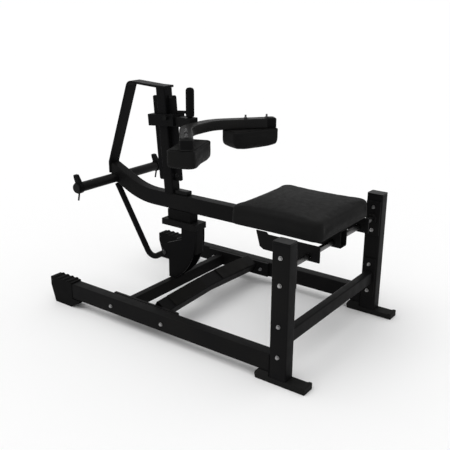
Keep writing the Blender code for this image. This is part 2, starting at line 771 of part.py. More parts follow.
# The stop post and the safety catch
def build_post(frame, black, rubber, steel):
    """The post that carries the lever's stop, and the pivot of the safety catch."""
    stem_low = rail_low + cross_tube_tall + seat_gap
    add("post_stem", box_tube(bmesh.new(), 2, stem_low, stem_top, (stem_x, 0.0),
                              (cross_tube_deep, frame_tube_wide)), black, frame)
    neck = bmesh.new()
    neck_middle = ((neck_front_x + neck_rear_x) / 2, 0.0)
    box_tube(neck, 2, neck_low, stop_plate_low + stop_plate_thick / 2, neck_middle,
             (neck_rear_x - neck_front_x, frame_tube_wide))
    head = add("stop_head", neck, black, frame)
    plate = block(bmesh.new(), (stem_x - stop_plate_ahead, stem_x + stop_plate_behind),
                  (-stop_plate_half, stop_plate_half), (stop_plate_low, stop_plate_high))
    join(head, plate, "stop_plate")
    cheek_low = stem_low + cheek_above
    cheek_top = stop_plate_low - seat_gap
    stem_front_x = stem_x - cross_tube_deep / 2
    stem_rear_x = stem_x + cross_tube_deep / 2
    ear_low_z = catch_pivot_z - cheek_ear * 1.2
    sweep = math.acos(1 - (neck_rear_x - stem_rear_x - cheek_toe) / cheek_sweep)
    outline = [(stem_front_x, cheek_low), (stem_rear_x, cheek_low)]
    outline += arc((neck_rear_x - cheek_sweep, cheek_low + cheek_rise + cheek_sweep * math.sin(sweep)),
                   cheek_sweep, -sweep, 0.0, 8)
    outline += [(neck_rear_x, cheek_top), (neck_front_x, cheek_top),
                (neck_front_x, cheek_top - cheek_slot), (stem_x + 0.031, catch_pivot_z + 0.080),
                (catch_pivot_x + 0.020, catch_pivot_z + 0.057),
                (catch_pivot_x - cheek_ear, catch_pivot_z - cheek_ear * 0.9),
                (catch_pivot_x - cheek_ear * 0.9, ear_low_z), (stem_front_x, ear_low_z)]
    for side, sign in SIDES:
        faces = sorted((sign * (cheek_gap_half + seat_gap),
                        sign * (cheek_gap_half + seat_gap + cheek_thick)))
        cheek = soften(add(f"post_cheek_{side}", slab(bmesh.new(), outline, 1, *faces), black, frame),
                       0.0012)
        cut(cheek, rod(bmesh.new(), (catch_pivot_x, sign * cheek_gap_half - cut_over, catch_pivot_z),
                       (catch_pivot_x, sign * cheek_gap_half + cut_over, catch_pivot_z),
                       catch_pin_radius + seat_gap), f"cut_cheek_{side}")
    bumper = block(bmesh.new(), (stem_x - bumper_ahead, stem_x + bumper_behind),
                   (-bumper_half, bumper_half), (stop_plate_high + seat_gap, bumper_high))
    soften(add("stop_bumper", bumper, rubber, frame), bumper_round, 3)
    reach = cheek_gap_half + 2 * seat_gap + cheek_thick
    start = -reach - catch_pin_head_high / 2
    pin = add("catch_pin", rod(bmesh.new(), (catch_pivot_x, start, catch_pivot_z),
                               (catch_pivot_x, reach + bolt_end, catch_pivot_z), catch_pin_radius, 20),
              steel, frame)
    join(pin, rod(bmesh.new(), (catch_pivot_x, -reach, catch_pivot_z),
                  (catch_pivot_x, -reach - catch_pin_head_high, catch_pivot_z),
                  catch_pin_head_radius, 20), "catch_pin_head")
    smooth(pin)


def build_catch(catch, black):
    """The bent safety catch, with an eye that turns on the pin."""
    corner = [(catch_pivot_x, catch_pivot_z), (catch_elbow_x, catch_elbow_z),
              (catch_tip_x, catch_tip_z)]
    path = round_corners(corner, catch_elbow_radius, 10)
    rings = rings_along(path, circle(catch_radius, 16), "XZ")
    bm = bmesh.new()
    skin(bm, rings)
    piece = add("safety_catch", bm, black, catch)
    join(piece, rod(bmesh.new(), (catch_pivot_x, -catch_eye_half, catch_pivot_z),
                    (catch_pivot_x, catch_eye_half, catch_pivot_z), catch_eye_radius), "catch_eye")
    bore_reach = catch_eye_half + cut_over
    cut(piece, rod(bmesh.new(), (catch_pivot_x, -bore_reach, catch_pivot_z),
                   (catch_pivot_x, bore_reach, catch_pivot_z), catch_pin_radius + running_gap, 20),
        "catch_bore")
    smooth(piece)


# The lever
def build_lever(lever, black, plastic):
    """The arm, the weight bar, the strap and the plates under the seat."""
    middle = (arm_curve_x, arm_middle_z + arm_curve_radius)
    path = [(arm_rear_x, arm_middle_z)]
    path += arc(middle, arm_curve_radius, -math.pi / 2, -math.pi / 2 - arm_curve_angle,
                arm_curve_steps)
    last = Vector(path[-1])
    ahead = Vector((-math.cos(arm_curve_angle), math.sin(arm_curve_angle)))
    path.append(last + ahead * arm_run_on)
    outer = rounded(frame_tube_tall, frame_tube_wide, tube_corner)
    inner = rounded(frame_tube_tall - 2 * tube_wall, frame_tube_wide - 2 * tube_wall,
                    tube_corner - tube_wall)
    arm = add("lever_arm", hollow_skin(bmesh.new(), rings_along(path, outer, "XZ"),
                                       rings_along(path, inner, "XZ")), black, lever)
    side = frame_tube_wide / 2 + cut_over
    cut(arm, block(bmesh.new(), (arm_front_x - 2 * arm_run_on, arm_front_x), (-side, side),
                   (arm_end_z - 2 * arm_run_on, arm_end_z + 2 * arm_run_on)), "cut_arm_end")
    cut(arm, rod(bmesh.new(), (bar_x, -side, bar_z), (bar_x, side, bar_z), bar_radius + seat_gap, 32),
        "cut_arm_bar")
    cut(arm, rod(bmesh.new(), (upright_x, -side, shaft_z), (upright_x, side, shaft_z),
                 shaft_radius + running_gap), "cut_arm_shaft")
    smooth(add("weight_bar", rod(bmesh.new(), (bar_x, -bar_half_length, bar_z),
                                 (bar_x, bar_half_length, bar_z), bar_radius, 32), black, lever))
    build_strap(lever, black)
    lug_front_x = mast_x + lug_behind_mast
    lug = block(bmesh.new(), (lug_front_x, lug_front_x + lug_length), (-lug_half, lug_half),
                (arm_high + seat_gap, arm_high + lug_high))
    soften(add("arm_lug", lug, plastic, lever), lug_round)
    plate_high = board_low - seat_gap
    outline = [(seat_plate_front_x + seat_plate_chamfer_x, arm_low), (seat_plate_rear_x, arm_low),
               (seat_plate_rear_x, plate_high - seat_plate_slit),
               (seat_plate_front_x + seat_plate_tab, plate_high - seat_plate_slit),
               (seat_plate_front_x + seat_plate_tab - seat_plate_slit, plate_high),
               (seat_plate_front_x, plate_high),
               (seat_plate_front_x + seat_plate_lead, arm_low + seat_plate_chamfer_z)]
    for side, sign in SIDES:
        faces = sorted((sign * seat_plate_outer, sign * (seat_plate_outer - seat_plate_thick)))
        plate = soften(add(f"seat_plate_{side}", slab(bmesh.new(), outline, 1, *faces), black, lever),
                       0.0012)
        cut(plate, rod(bmesh.new(), (upright_x, sign * seat_plate_outer - cut_over, shaft_z),
                       (upright_x, sign * seat_plate_outer + cut_over, shaft_z),
                       shaft_radius + running_gap), f"cut_plate_{side}")


def build_strap(lever, black):
    """The flat strap that ties the mast's top to the arm's front end."""
    half = strap_thick / 2
    foot_x = arm_front_x - seat_gap - half
    top_z = strap_low + half
    slope = strap_rise / (strap_reach - mast_deep / 2)
    flat_x = mast_top_x - mast_deep / 2
    bend_x = mast_top_x - strap_reach
    points = [(mast_top_x + strap_past_mast, top_z), (flat_x, top_z),
              (bend_x, top_z + slope * (flat_x - bend_x)),
              (foot_x, arm_end_z + strap_kink_above), (foot_x, arm_end_z - strap_foot_below)]
    path = [Vector(points[0])] + round_corners(points[1:4], strap_bend_radius, strap_arc_steps)
    path = path[:-1] + round_corners(points[2:], strap_bend_radius, 4)[1:]
    section = [(-half, -strap_width / 2), (half, -strap_width / 2),
               (half, strap_width / 2), (-half, strap_width / 2)]
    bm = bmesh.new()
    skin(bm, rings_along(path, section, "XZ"))
    soften(add("strap", bm, black, lever), 0.0015)


def build_seat(lever, vinyl, board_material):
    """The seat's board and its crowned cushion."""
    half_x = (seat_rear_x - seat_front_x) / 2
    middle_x = (seat_rear_x + seat_front_x) / 2
    outline = pillow_outline(half_x, seat_half_width, seat_corner, board_inset, 0.0)
    add("seat_board", slab(bmesh.new(), [(x + middle_x, y) for x, y in outline], 2,
                           board_low, board_low + board_thick), board_material, lever)
    rings = pillow_rings(half_x, seat_half_width, seat_corner, seat_thick, seat_round, seat_crown,
                         seat_draw_in, board_inset, board_thick)
    bm = bmesh.new()
    skin(bm, [[Vector((x + middle_x, y, z + board_low)) for x, y, z in ring] for ring in rings])
    smooth(add("seat_pad", bm, vinyl, lever), 50.0)


def build_collar(holder, side, sign, black):
    """A spring collar on the weight bar, with a broad tab above and a prong below."""
    middle = sign * collar_middle
    low, high = middle - collar_width / 2, middle + collar_width / 2
    outer = bar_radius + running_gap + collar_wall
    collar = add(f"collar_{side}", rod(bmesh.new(), (bar_x, low, bar_z), (bar_x, high, bar_z),
                                       outer, 32), black, holder)
    root = bar_z + outer - collar_wall
    tip = bar_z + outer + collar_tab_high
    half = collar_tab_thick / 2
    lean = collar_tab_lean
    tab = [(bar_x - 2 * half, root), (bar_x + 2 * half, root),
           (bar_x + 2 * half - 0.55 * lean, (root + tip) / 2 + collar_wall),
           (bar_x - 0.25 * lean, tip), (bar_x - 0.85 * lean, tip),
           (bar_x - 1.1 * lean, tip - collar_wall), (bar_x - lean, (root + tip) / 2)]
    join(collar, slab(bmesh.new(), tab, 1, middle - half, middle + half), f"collar_tab_{side}")
    prong = bar_z - outer
    join(collar, rod(bmesh.new(), (bar_x, middle, prong + collar_wall),
                     (bar_x - collar_prong_lean, middle, prong - collar_prong_length),
                     collar_prong_radius, 12), f"collar_prong_{side}")
    cut(collar, rod(bmesh.new(), (bar_x, low - cut_over, bar_z), (bar_x, high + cut_over, bar_z),
                    bar_radius + running_gap, 32), f"cut_collar_{side}")
    smooth(collar)


# The mast and its carriage, drawn in the mast's leaning frame
def build_mast(mast, black):
    """The mast's tube and the two fins that guide and lock the carriage."""
    slope = math.tan(mast_lean)
    outer = rounded(mast_deep, mast_wide, tube_corner)
    inner = rounded(mast_deep - 2 * tube_wall, mast_wide - 2 * tube_wall, tube_corner - tube_wall)
    both = [[[Vector((x, y, level - x * slope)) for x, y in outline]
             for level in (0.0, mast_length)] for outline in (outer, inner)]
    add("mast_tube", hollow_skin(bmesh.new(), *both), black, mast)
    start = mast_deep / 2 + seat_gap
    for name, sign in (("mast_fin_front", -1.0), ("mast_fin_rear", 1.0)):
        near, far = sign * start, sign * (start + fin_deep)
        inset = far - sign * fin_corner
        outline = [(near, fin_low), (inset, fin_low), (far, fin_low + fin_corner),
                   (far, fin_high - fin_corner), (inset, fin_high), (near, fin_high)]
        fin = add(name, slab(bmesh.new(), outline, 1, -fin_thick / 2, fin_thick / 2), black, mast)
    holes = bmesh.new()
    for step in fin_hole_steps:
        x, z = pin_x(), fin_hole_first + step * fin_hole_pitch
        rod(holes, (x, -cut_over, z), (x, cut_over, z), fin_hole_radius)
    cut(fin, holes, "cut_mast_fin_rear")


def pin_x():
    """How far behind the mast's middle the pin and the fin's holes stand."""
    return mast_deep / 2 + fin_hole_offset


def build_carriage(mast_carriage, black):
    """The sleeve that slides on the mast's tube and fins."""
    low = sleeve_middle - sleeve_height / 2
    high = sleeve_middle + sleeve_height / 2
    bm = block(bmesh.new(), (-sleeve_half_deep, sleeve_half_deep), (-sleeve_half_wide, sleeve_half_wide),
               (low, high))
    sleeve = soften(add("carriage_sleeve", bm, black, mast_carriage), 0.002)
    half_deep, half_wide = mast_deep / 2 + slide_gap, mast_wide / 2 + slide_gap
    half_fin = fin_thick / 2 + slide_gap
    far_fin = mast_deep / 2 + seat_gap + fin_deep + slide_gap
    cross = [(half_deep, -half_fin), (far_fin, -half_fin), (far_fin, half_fin), (half_deep, half_fin),
             (half_deep, half_wide), (-half_deep, half_wide), (-half_deep, half_fin),
             (-far_fin, half_fin), (-far_fin, -half_fin), (-half_deep, -half_fin),
             (-half_deep, -half_wide), (half_deep, -half_wide)]
    cut(sleeve, slab(bmesh.new(), cross, 2, low - cut_over, high + cut_over), "cut_sleeve")
    bore_end = pull_pin_travel - fin_thick / 2 + slide_gap
    cut(sleeve, rod(bmesh.new(), (pin_x(), -2 * sleeve_half_wide, pin_height),
                    (pin_x(), bore_end, pin_height), pull_pin_radius + running_gap, 20),
        "cut_sleeve_pin")


def on_slope(across, height):
    """The world X of a plane that leans with the mast, at a height above the floor."""
    up = (height - mast_foot_z - across * math.sin(mast_lean)) / math.cos(mast_lean)
    return mast_x + across * math.cos(mast_lean) - up * math.sin(mast_lean)


def build_carriage_stem(carriage, black):
    """The level stem from the sleeve back to the yoke's front face."""
    start = sleeve_half_deep + seat_gap
    front = yoke_back_x - seat_gap
    low, high = carriage_stem_low, carriage_stem_high
    outline = [(on_slope(start, low), low), (front, low), (front, high),
               (on_slope(start, high), high)]
    half = carriage_stem_wide / 2
    return soften(add("carriage_stem", slab(bmesh.new(), outline, 1, -half, half), black, carriage),
                  0.003)


def build_grip(mast_carriage, carriage, black, rubber):
    """The upright grip on the stem, and the strut that steadies it against the mast."""
    grip_top = grip_low + grip_length
    shape = rod(bmesh.new(), (grip_x, 0.0, grip_low), (grip_x, 0.0, grip_top), grip_radius)
    rim = [edge for edge in shape.edges if all(vert.co.z > grip_top - seat_gap for vert in edge.verts)]
    bmesh.ops.bevel(shape, geom=rim, offset=grip_round, segments=3, affect="EDGES", profile=0.5)
    smooth(add("grip", shape, rubber, carriage))
    strut_low = sleeve_middle + sleeve_height / 2 + seat_gap
    strut_high = strut_low + strut_tall
    start = mast_deep / 2 + seat_gap + fin_deep + slide_gap
    reach = grip_x - grip_radius - seat_gap - mast_x
    ends = [(reach + level * math.sin(mast_lean)) / math.cos(mast_lean)
            for level in (strut_low, strut_high)]
    outline = [(start, strut_low), (ends[0], strut_low), (ends[1], strut_high), (start, strut_high)]
    soften(add("grip_strut", slab(bmesh.new(), outline, 1, -strut_wide / 2, strut_wide / 2),
               black, mast_carriage), 0.002)


def build_pull_pin(pin_holder, steel):
    """The pull pin, parked in its drawn place just clear of the rear fin that it locks into.

    It is drawn about its own axis: the empty stands where the axis meets the mast's middle plane.
    """
    face = -sleeve_half_wide - seat_gap - pull_pin_travel
    tip = -fin_thick / 2 - slide_gap
    pin = add("pull_pin", rod(bmesh.new(), (0.0, face, 0.0), (0.0, face - pull_pin_head_high, 0.0),
                              pull_pin_head_radius, 20), steel, pin_holder)
    join(pin, rod(bmesh.new(), (0.0, face - pull_pin_head_high / 2, 0.0), (0.0, tip, 0.0),
                  pull_pin_radius, 20), "pull_pin_shank")
    smooth(pin)


def yoke_path():
    """The yoke's middle line in plan, from its left end to its right end."""
    half = yoke_width / 2
    corner_x = yoke_back_x + half
    corner_y = yoke_bend_half - half * math.tan(yoke_sweep / 2)
    end_y = corner_y + (yoke_end_x - corner_x) / math.tan(yoke_sweep)
    return [(yoke_end_x, -end_y), (corner_x, -corner_y), (corner_x, corner_y), (yoke_end_x, end_y)]


def build_yoke(carriage, black):
    """The bent tube across the carriage that carries the thigh pads."""
    path = round_corners(yoke_path()[:3], yoke_bend_radius, yoke_bend_steps)
    path = path[:-1] + round_corners(yoke_path()[1:], yoke_bend_radius, yoke_bend_steps)[1:]
    ends = [path[i] + (path[j] - path[i]).normalized() * yoke_cap for i, j in ((0, 1), (-1, -2))]
    inner_path = [ends[0]] + path[1:-1] + [ends[1]]
    middle_z = yoke_low + yoke_height / 2
    outer = [(x, z + middle_z) for x, z in rounded(yoke_width, yoke_height, tube_corner)]
    inner = [(x, z + middle_z) for x, z in
             rounded(yoke_width - 2 * tube_wall, yoke_height - 2 * tube_wall, tube_corner - tube_wall)]
    tube = bmesh.new()
    skin(tube, rings_along(path, outer, "XY"))
    yoke = add("yoke", tube, black, carriage)
    hollow = bmesh.new()
    skin(hollow, rings_along(inner_path, inner, "XY"))
    cut(yoke, hollow, "cut_yoke_hollow")
    holes = bmesh.new()
    for _, sign in SIDES:
        for x, y in pad_bolt_places(sign):
            rod(holes, (x, y, yoke_low - cut_over), (x, y, yoke_high + cut_over),
                pad_bolt_radius + seat_gap, 16)
    cut(yoke, holes, "cut_yoke")


def pad_bolt_places(sign):
    """Where the pad bolts of one side stand, on the arm's middle line."""
    start, end = Vector(yoke_path()[2]), Vector(yoke_path()[3])
    back = (start - end).normalized()
    places = [end + back * distance for distance in pad_bolt_from_end]
    return [(place.x, sign * place.y) for place in places]


def pad_place(sign, along, across):
    """A point of a pad's own frame, in plan."""
    angle = sign * (math.pi / 2 - pad_sweep)
    return (pad_x + along * math.cos(angle) - across * math.sin(angle),
            sign * pad_y + along * math.sin(angle) + across * math.cos(angle))


def build_pads(carriage, vinyl, board_material, steel):
    """The thigh pads, crowned below with round lower ends, their boards and their bolts."""
    height = pad_tall - pad_crown
    rings = pillow_rings(pad_half_length, pad_half_deep, pad_corner, height, pad_round, pad_crown,
                         pad_draw_in, pad_board_inset, pad_board_thick)
    board_outline = pillow_outline(pad_half_length, pad_half_deep, pad_corner, pad_board_inset, 0.0)
    full = height + pad_crown
    recess = pad_board_thick + seat_gap
    flat_half = pad_half_length - pad_end_radius
    for side, sign in SIDES:
        placed = []
        for ring in rings:
            row = []
            for x, y, level in ring:
                over = max(abs(x) - flat_half, 0.0)
                lift = pad_end_radius - math.sqrt(max(pad_end_radius ** 2 - over ** 2, 0.0))
                lift = min(lift, pad_end_lift_limit)
                below = max(level - recess, 0.0)
                depth = min(level, recess) + below * (full - recess - lift) / (full - recess)
                place = pad_place(sign, x, y)
                row.append(Vector((place[0], place[1], pad_top - depth)))
            placed.append(row)
        pad_mesh = bmesh.new()
        skin(pad_mesh, placed)
        pad = smooth(add(f"thigh_pad_{side}", pad_mesh, vinyl, carriage), 50.0)
        board = add(f"pad_board_{side}", slab(
            bmesh.new(), [pad_place(sign, x, y) for x, y in board_outline], 2,
            pad_top - pad_board_thick, pad_top), board_material, carriage)
        holes = bmesh.new()
        for number, (x, y) in enumerate(pad_bolt_places(sign), 1):
            rod(holes, (x, y, pad_top - pad_board_thick - cut_over), (x, y, pad_top + cut_over),
                pad_bolt_radius + seat_gap, 16)
            low = pad_top - pad_bolt_below
            bolt = add(f"pad_bolt_{side}_{number}", rod(
                bmesh.new(), (x, y, low), (x, y, yoke_high + pad_bolt_above), pad_bolt_radius, 16),
                steel, carriage)
            join(bolt, rod(bmesh.new(), (x, y, yoke_high + seat_gap),
                           (x, y, yoke_high + pad_nut_high), pad_bolt_cap_radius, 6),
                 f"nut_{side}_{number}")
            smooth(bolt)
        cut(board, holes, f"cut_board_{side}")


def main():
    """Build every piece."""
    clear_scene()
    black = paint("black_powder_coat", (0.012, 0.012, 0.013), 0.45)
    rubber = paint("black_rubber", (0.010, 0.010, 0.010), 0.75)
    plastic = paint("black_plastic", (0.012, 0.012, 0.012), 0.50)
    vinyl = paint("black_vinyl", (0.018, 0.018, 0.019), 0.50)
    board = paint("painted_board", (0.010, 0.010, 0.010), 0.70)
    steel = paint("dark_steel", (0.060, 0.060, 0.065), 0.35, 0.9)

    frame = empty("frame_origin", (0.0, 0.0, 0.0))
    lever = empty("lever_pivot", (upright_x, 0.0, shaft_z))
    catch = empty("catch_pivot", (catch_pivot_x, 0.0, catch_pivot_z))
    build_base(frame, black, rubber, plastic, steel)
    build_post(frame, black, rubber, steel)
    build_catch(catch, black)
    build_lever(lever, black, plastic)
    build_seat(lever, vinyl, board)
    for side, sign in SIDES:
        holder = empty(f"collar_seat_{side}", (bar_x, sign * collar_middle, bar_z), lever)
        build_collar(holder, side, sign, black)

    mast_foot = (mast_x, 0.0, mast_foot_z)
    lean = (0.0, -mast_lean, 0.0)
    carriage = empty("carriage_origin", mast_foot, lever)
    mast = empty("mast_frame", mast_foot, lever, lean)
    mast_carriage = empty("carriage_frame", mast_foot, carriage, lean)
    pin_holder = empty("pull_pin_axis", (pin_x(), 0.0, pin_height), None)
    pin_holder.parent = mast_carriage
    build_mast(mast, black)
    build_carriage(mast_carriage, black)
    build_carriage_stem(carriage, black)
    build_grip(mast_carriage, carriage, black, rubber)
    build_pull_pin(pin_holder, steel)
    build_yoke(carriage, black)
    build_pads(carriage, vinyl, board, steel)


main()
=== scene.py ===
"""The looks of a seated calf raise machine: finishes, cushions, fasteners, welds, floor, light and camera.

Metres, +Z up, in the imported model's frame. The user faces -X, so the left side is -Y.
"""
import json
import logging
import math
from dataclasses import dataclass, replace
from enum import Enum

import bmesh
import bpy
from mathutils import Matrix, Vector

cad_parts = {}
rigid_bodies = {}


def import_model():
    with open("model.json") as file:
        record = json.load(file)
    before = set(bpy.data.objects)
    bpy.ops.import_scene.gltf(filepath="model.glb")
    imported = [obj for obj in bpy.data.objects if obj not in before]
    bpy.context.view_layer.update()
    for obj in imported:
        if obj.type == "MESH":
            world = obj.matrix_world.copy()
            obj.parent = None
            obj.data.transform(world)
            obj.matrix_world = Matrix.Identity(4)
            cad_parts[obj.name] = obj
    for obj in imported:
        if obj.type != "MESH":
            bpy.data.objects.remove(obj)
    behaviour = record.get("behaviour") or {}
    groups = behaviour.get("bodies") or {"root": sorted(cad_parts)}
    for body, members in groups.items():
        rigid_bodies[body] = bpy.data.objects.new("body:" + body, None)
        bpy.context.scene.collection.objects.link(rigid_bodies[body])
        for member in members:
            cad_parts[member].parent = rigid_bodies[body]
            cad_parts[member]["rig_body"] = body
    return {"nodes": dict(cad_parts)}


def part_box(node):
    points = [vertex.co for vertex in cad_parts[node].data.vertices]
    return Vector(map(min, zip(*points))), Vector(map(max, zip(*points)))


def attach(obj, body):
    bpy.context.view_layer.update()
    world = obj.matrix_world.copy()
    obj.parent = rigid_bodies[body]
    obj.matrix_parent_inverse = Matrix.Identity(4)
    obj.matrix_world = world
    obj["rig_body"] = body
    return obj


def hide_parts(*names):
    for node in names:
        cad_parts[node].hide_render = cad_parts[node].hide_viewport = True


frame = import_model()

Triple = tuple[float, float, float]
Pair = tuple[float, float]

LOG = logging.getLogger("calf_raise")
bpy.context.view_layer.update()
SIDES = (("left", -1.0), ("right", 1.0))
AXIS_X, AXIS_Y, AXIS_Z = range(3)
UP = Vector((0.0, 0.0, 1.0))
WHITE = (1.0, 1.0, 1.0, 1.0)

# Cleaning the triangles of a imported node
MERGE_DISTANCE = 0.00002
FLAT_ANGLE = math.radians(0.4)

# Edges that turn by more than so many degrees stay sharp
FASTENER_SHARP = 30.0
BEAD_SHARP = 60.0
ALL_SMOOTH = 180.0

# Textures: the part of a noise's range that counts, its octaves, and sizes as shares of one another
WEAR_RANGE = (0.38, 0.72)
WEAR_OCTAVES = 4.0
GLOSS_RANGE = (0.3, 0.7)
GLOSS_OCTAVES = 3.0
GLOSS_PATCHES = 4             # gloss patches across a patch of wear
PEEL_OCTAVES = 1.0
STREAK_OCTAVES = 2.0
GRAIN_OCTAVES = 3.0
STREAK_SCALE = (1.0, 0.06, 1.0)
CREASE_WIDTH = 0.28           # of a pebble
FOLD_SIZE = 9                 # pebbles across a soft fold of the cover
FOLD_SHARE = 0.5              # of a pebble's height


class Slot(Enum):
    """The record's material slots."""

    FRAME_PAINT = "frame_paint"
    RUBBER = "rubber"
    PLASTIC = "plastic"
    VINYL = "vinyl"
    BOARD = "board"
    BOLT_STEEL = "bolt_steel"


class Grain(Enum):
    """The fine relief of a surface."""

    ORANGE_PEEL = "orange_peel"
    LEATHER = "leather"
    MOULDED = "moulded"
    TURNED = "turned"
    WOOD_FIBRE = "wood_fibre"


@dataclass(frozen=True)
class Finish:
    """A surface finish: colour, gloss and relief, all worked out from the piece's own coordinates.

    Colours are linear. Grain sizes and depths are in metres.
    """

    name: str
    slot: Slot
    colour: Triple
    worn_colour: Triple
    roughness: Pair
    specular: float
    grain: Grain
    grain_size: float
    grain_depth: float
    metallic: float = 0.0
    sheen: float = 0.0
    patch_size: float = 0.16

    def material(self) -> bpy.types.Material:
        """Build the material, or return the one already built.

        Returns:
            The Blender material.
        """
        made = bpy.data.materials.get(self.name)
        if made is not None:
            return made
        made = bpy.data.materials.new(self.name)
        made.use_nodes = True
        made.diffuse_color = (*self.colour, 1.0)
        tree = made.node_tree
        shader = tree.nodes["Principled BSDF"]
        shader.inputs["Metallic"].default_value = self.metallic
        shader.inputs["Specular IOR Level"].default_value = self.specular
        shader.inputs["Sheen Weight"].default_value = self.sheen
        place = tree.nodes.new("ShaderNodeTexCoord").outputs["Object"]
        self._colour(tree, shader, place)
        self._gloss(tree, shader, place)
        self._relief(tree, shader, place)
        return made

    def _noise(self, tree: bpy.types.NodeTree, place: bpy.types.NodeSocket, size: float,
               octaves: float) -> bpy.types.NodeSocket:
        """Add a noise of one patch size.

        Args:
            tree: The material's node tree.
            place: The coordinates to read.
            size: The patch size in metres.
            octaves: How many finer layers it has.

        Returns:
            The noise's value socket.
        """
        noise = tree.nodes.new("ShaderNodeTexNoise")
        noise.inputs["Scale"].default_value = 1.0 / size
        noise.inputs["Detail"].default_value = octaves
        tree.links.new(place, noise.inputs["Vector"])
        return noise.outputs["Fac"]

    def _colour(self, tree: bpy.types.NodeTree, shader: bpy.types.Node,
                place: bpy.types.NodeSocket) -> None:
        """Let the colour drift between its own and its worn tone.

        Args:
            tree: The material's node tree.
            shader: The Principled shader.
            place: The coordinates to read.
        """
        ramp = tree.nodes.new("ShaderNodeValToRGB")
        for stop, position, colour in zip(ramp.color_ramp.elements, WEAR_RANGE,
                                          (self.colour, self.worn_colour)):
            stop.position = position
            stop.color = (*colour, 1.0)
        tree.links.new(self._noise(tree, place, self.patch_size, WEAR_OCTAVES), ramp.inputs["Fac"])
        tree.links.new(ramp.outputs["Color"], shader.inputs["Base Color"])

    def _gloss(self, tree: bpy.types.NodeTree, shader: bpy.types.Node,
               place: bpy.types.NodeSocket) -> None:
        """Let the roughness vary in small patches.

        Args:
            tree: The material's node tree.
            shader: The Principled shader.
            place: The coordinates to read.
        """
        reach = tree.nodes.new("ShaderNodeMapRange")
        for name, value in zip(("From Min", "From Max", "To Min", "To Max"), GLOSS_RANGE + self.roughness):
            reach.inputs[name].default_value = value
        size = self.patch_size / GLOSS_PATCHES
        tree.links.new(self._noise(tree, place, size, GLOSS_OCTAVES), reach.inputs["Value"])
        tree.links.new(reach.outputs["Result"], shader.inputs["Roughness"])

    def _relief(self, tree: bpy.types.NodeTree, shader: bpy.types.Node,
                place: bpy.types.NodeSocket) -> None:
        """Add the fine relief as a bump.

        Args:
            tree: The material's node tree.
            shader: The Principled shader.
            place: The coordinates to read.
        """
        bump = tree.nodes.new("ShaderNodeBump")
        bump.inputs["Distance"].default_value = self.grain_depth
        bump.inputs["Strength"].default_value = 1.0
        tree.links.new(self._height(tree, place), bump.inputs["Height"])
        tree.links.new(bump.outputs["Normal"], shader.inputs["Normal"])

    def _height(self, tree: bpy.types.NodeTree,
                place: bpy.types.NodeSocket) -> bpy.types.NodeSocket:
        """Add the texture that the relief follows.

        Args:
            tree: The material's node tree.
            place: The coordinates to read.

        Returns:
            The height socket.
        """
        if self.grain is Grain.LEATHER:
            return self._leather_height(tree, place)
        if self.grain in (Grain.TURNED, Grain.WOOD_FIBRE):
            streak = tree.nodes.new("ShaderNodeMapping")
            streak.inputs["Scale"].default_value = STREAK_SCALE
            tree.links.new(place, streak.inputs["Vector"])
            return self._noise(tree, streak.outputs["Vector"], self.grain_size, STREAK_OCTAVES)
        octaves = PEEL_OCTAVES if self.grain is Grain.ORANGE_PEEL else GRAIN_OCTAVES
        return self._noise(tree, place, self.grain_size, octaves)

    def _leather_height(self, tree: bpy.types.NodeTree,
                        place: bpy.types.NodeSocket) -> bpy.types.NodeSocket:
        """Add small pebbles with creases between them, as embossed vinyl has.

        Args:
            tree: The material's node tree.
            place: The coordinates to read.

        Returns:
            The height socket.
        """
        pebble = tree.nodes.new("ShaderNodeTexVoronoi")
        pebble.feature = "DISTANCE_TO_EDGE"
        pebble.inputs["Scale"].default_value = 1.0 / self.grain_size
        tree.links.new(place, pebble.inputs["Vector"])
        crease = tree.nodes.new("ShaderNodeMapRange")
        crease.interpolation_type = "SMOOTHSTEP"
        crease.inputs["From Max"].default_value = CREASE_WIDTH
        tree.links.new(pebble.outputs["Distance"], crease.inputs["Value"])
        total = tree.nodes.new("ShaderNodeMath")
        total.operation = "MULTIPLY_ADD"
        folds = self._noise(tree, place, self.grain_size * FOLD_SIZE, GRAIN_OCTAVES)
        tree.links.new(folds, total.inputs[0])
        total.inputs[1].default_value = FOLD_SHARE
        tree.links.new(crease.outputs["Result"], total.inputs[2])
        return total.outputs["Value"]


# The finishes
POWDER_COAT = Finish(
    "satin_powder_coat", Slot.FRAME_PAINT,
    colour=(0.0066, 0.0066, 0.0069), worn_colour=(0.0084, 0.0082, 0.0080),
    roughness=(0.38, 0.50), specular=0.028,
    grain=Grain.ORANGE_PEEL, grain_size=0.0016, grain_depth=0.00005)
# Painted shade: the frame's powder coat made darker for the mast, its fins, the strap, the sleeve, the
# cheeks, the catch and the collars, so that they look as they do in shade
SHADED_COAT = replace(
    POWDER_COAT, name="painted_shade_powder_coat", specular=0.030,
    colour=(0.0044, 0.0044, 0.0048), worn_colour=(0.0056, 0.0055, 0.0056))
# Painted light: the frame's powder coat made lighter for the yoke, whose top faces catch the light; it is
# the same paint, not a rubbed one
LIT_COAT = replace(
    POWDER_COAT, name="painted_light_powder_coat", roughness=(0.36, 0.48), specular=0.040,
    colour=(0.0110, 0.0110, 0.0110), worn_colour=(0.0145, 0.0142, 0.0138))
BAR_PAINT = Finish(
    "rubbed_bar_paint", Slot.FRAME_PAINT,
    colour=(0.0048, 0.0048, 0.0052), worn_colour=(0.0080, 0.0077, 0.0075),
    roughness=(0.28, 0.42), specular=0.06,
    grain=Grain.TURNED, grain_size=0.0012, grain_depth=0.00004)
RUBBER = Finish(
    "moulded_rubber", Slot.RUBBER,
    colour=(0.0046, 0.0046, 0.0047), worn_colour=(0.0064, 0.0063, 0.0062),
    roughness=(0.60, 0.74), specular=0.03,
    grain=Grain.MOULDED, grain_size=0.0011, grain_depth=0.00010)
# Painted light: the rubber made lighter for the rear feet, whose tops catch the light; the rougher, duller
# surface is the rubber's own
LIT_FOOT_RUBBER = replace(
    RUBBER, name="painted_light_rubber", roughness=(0.62, 0.76), specular=0.04,
    colour=(0.0100, 0.0100, 0.0098), worn_colour=(0.0140, 0.0137, 0.0132))
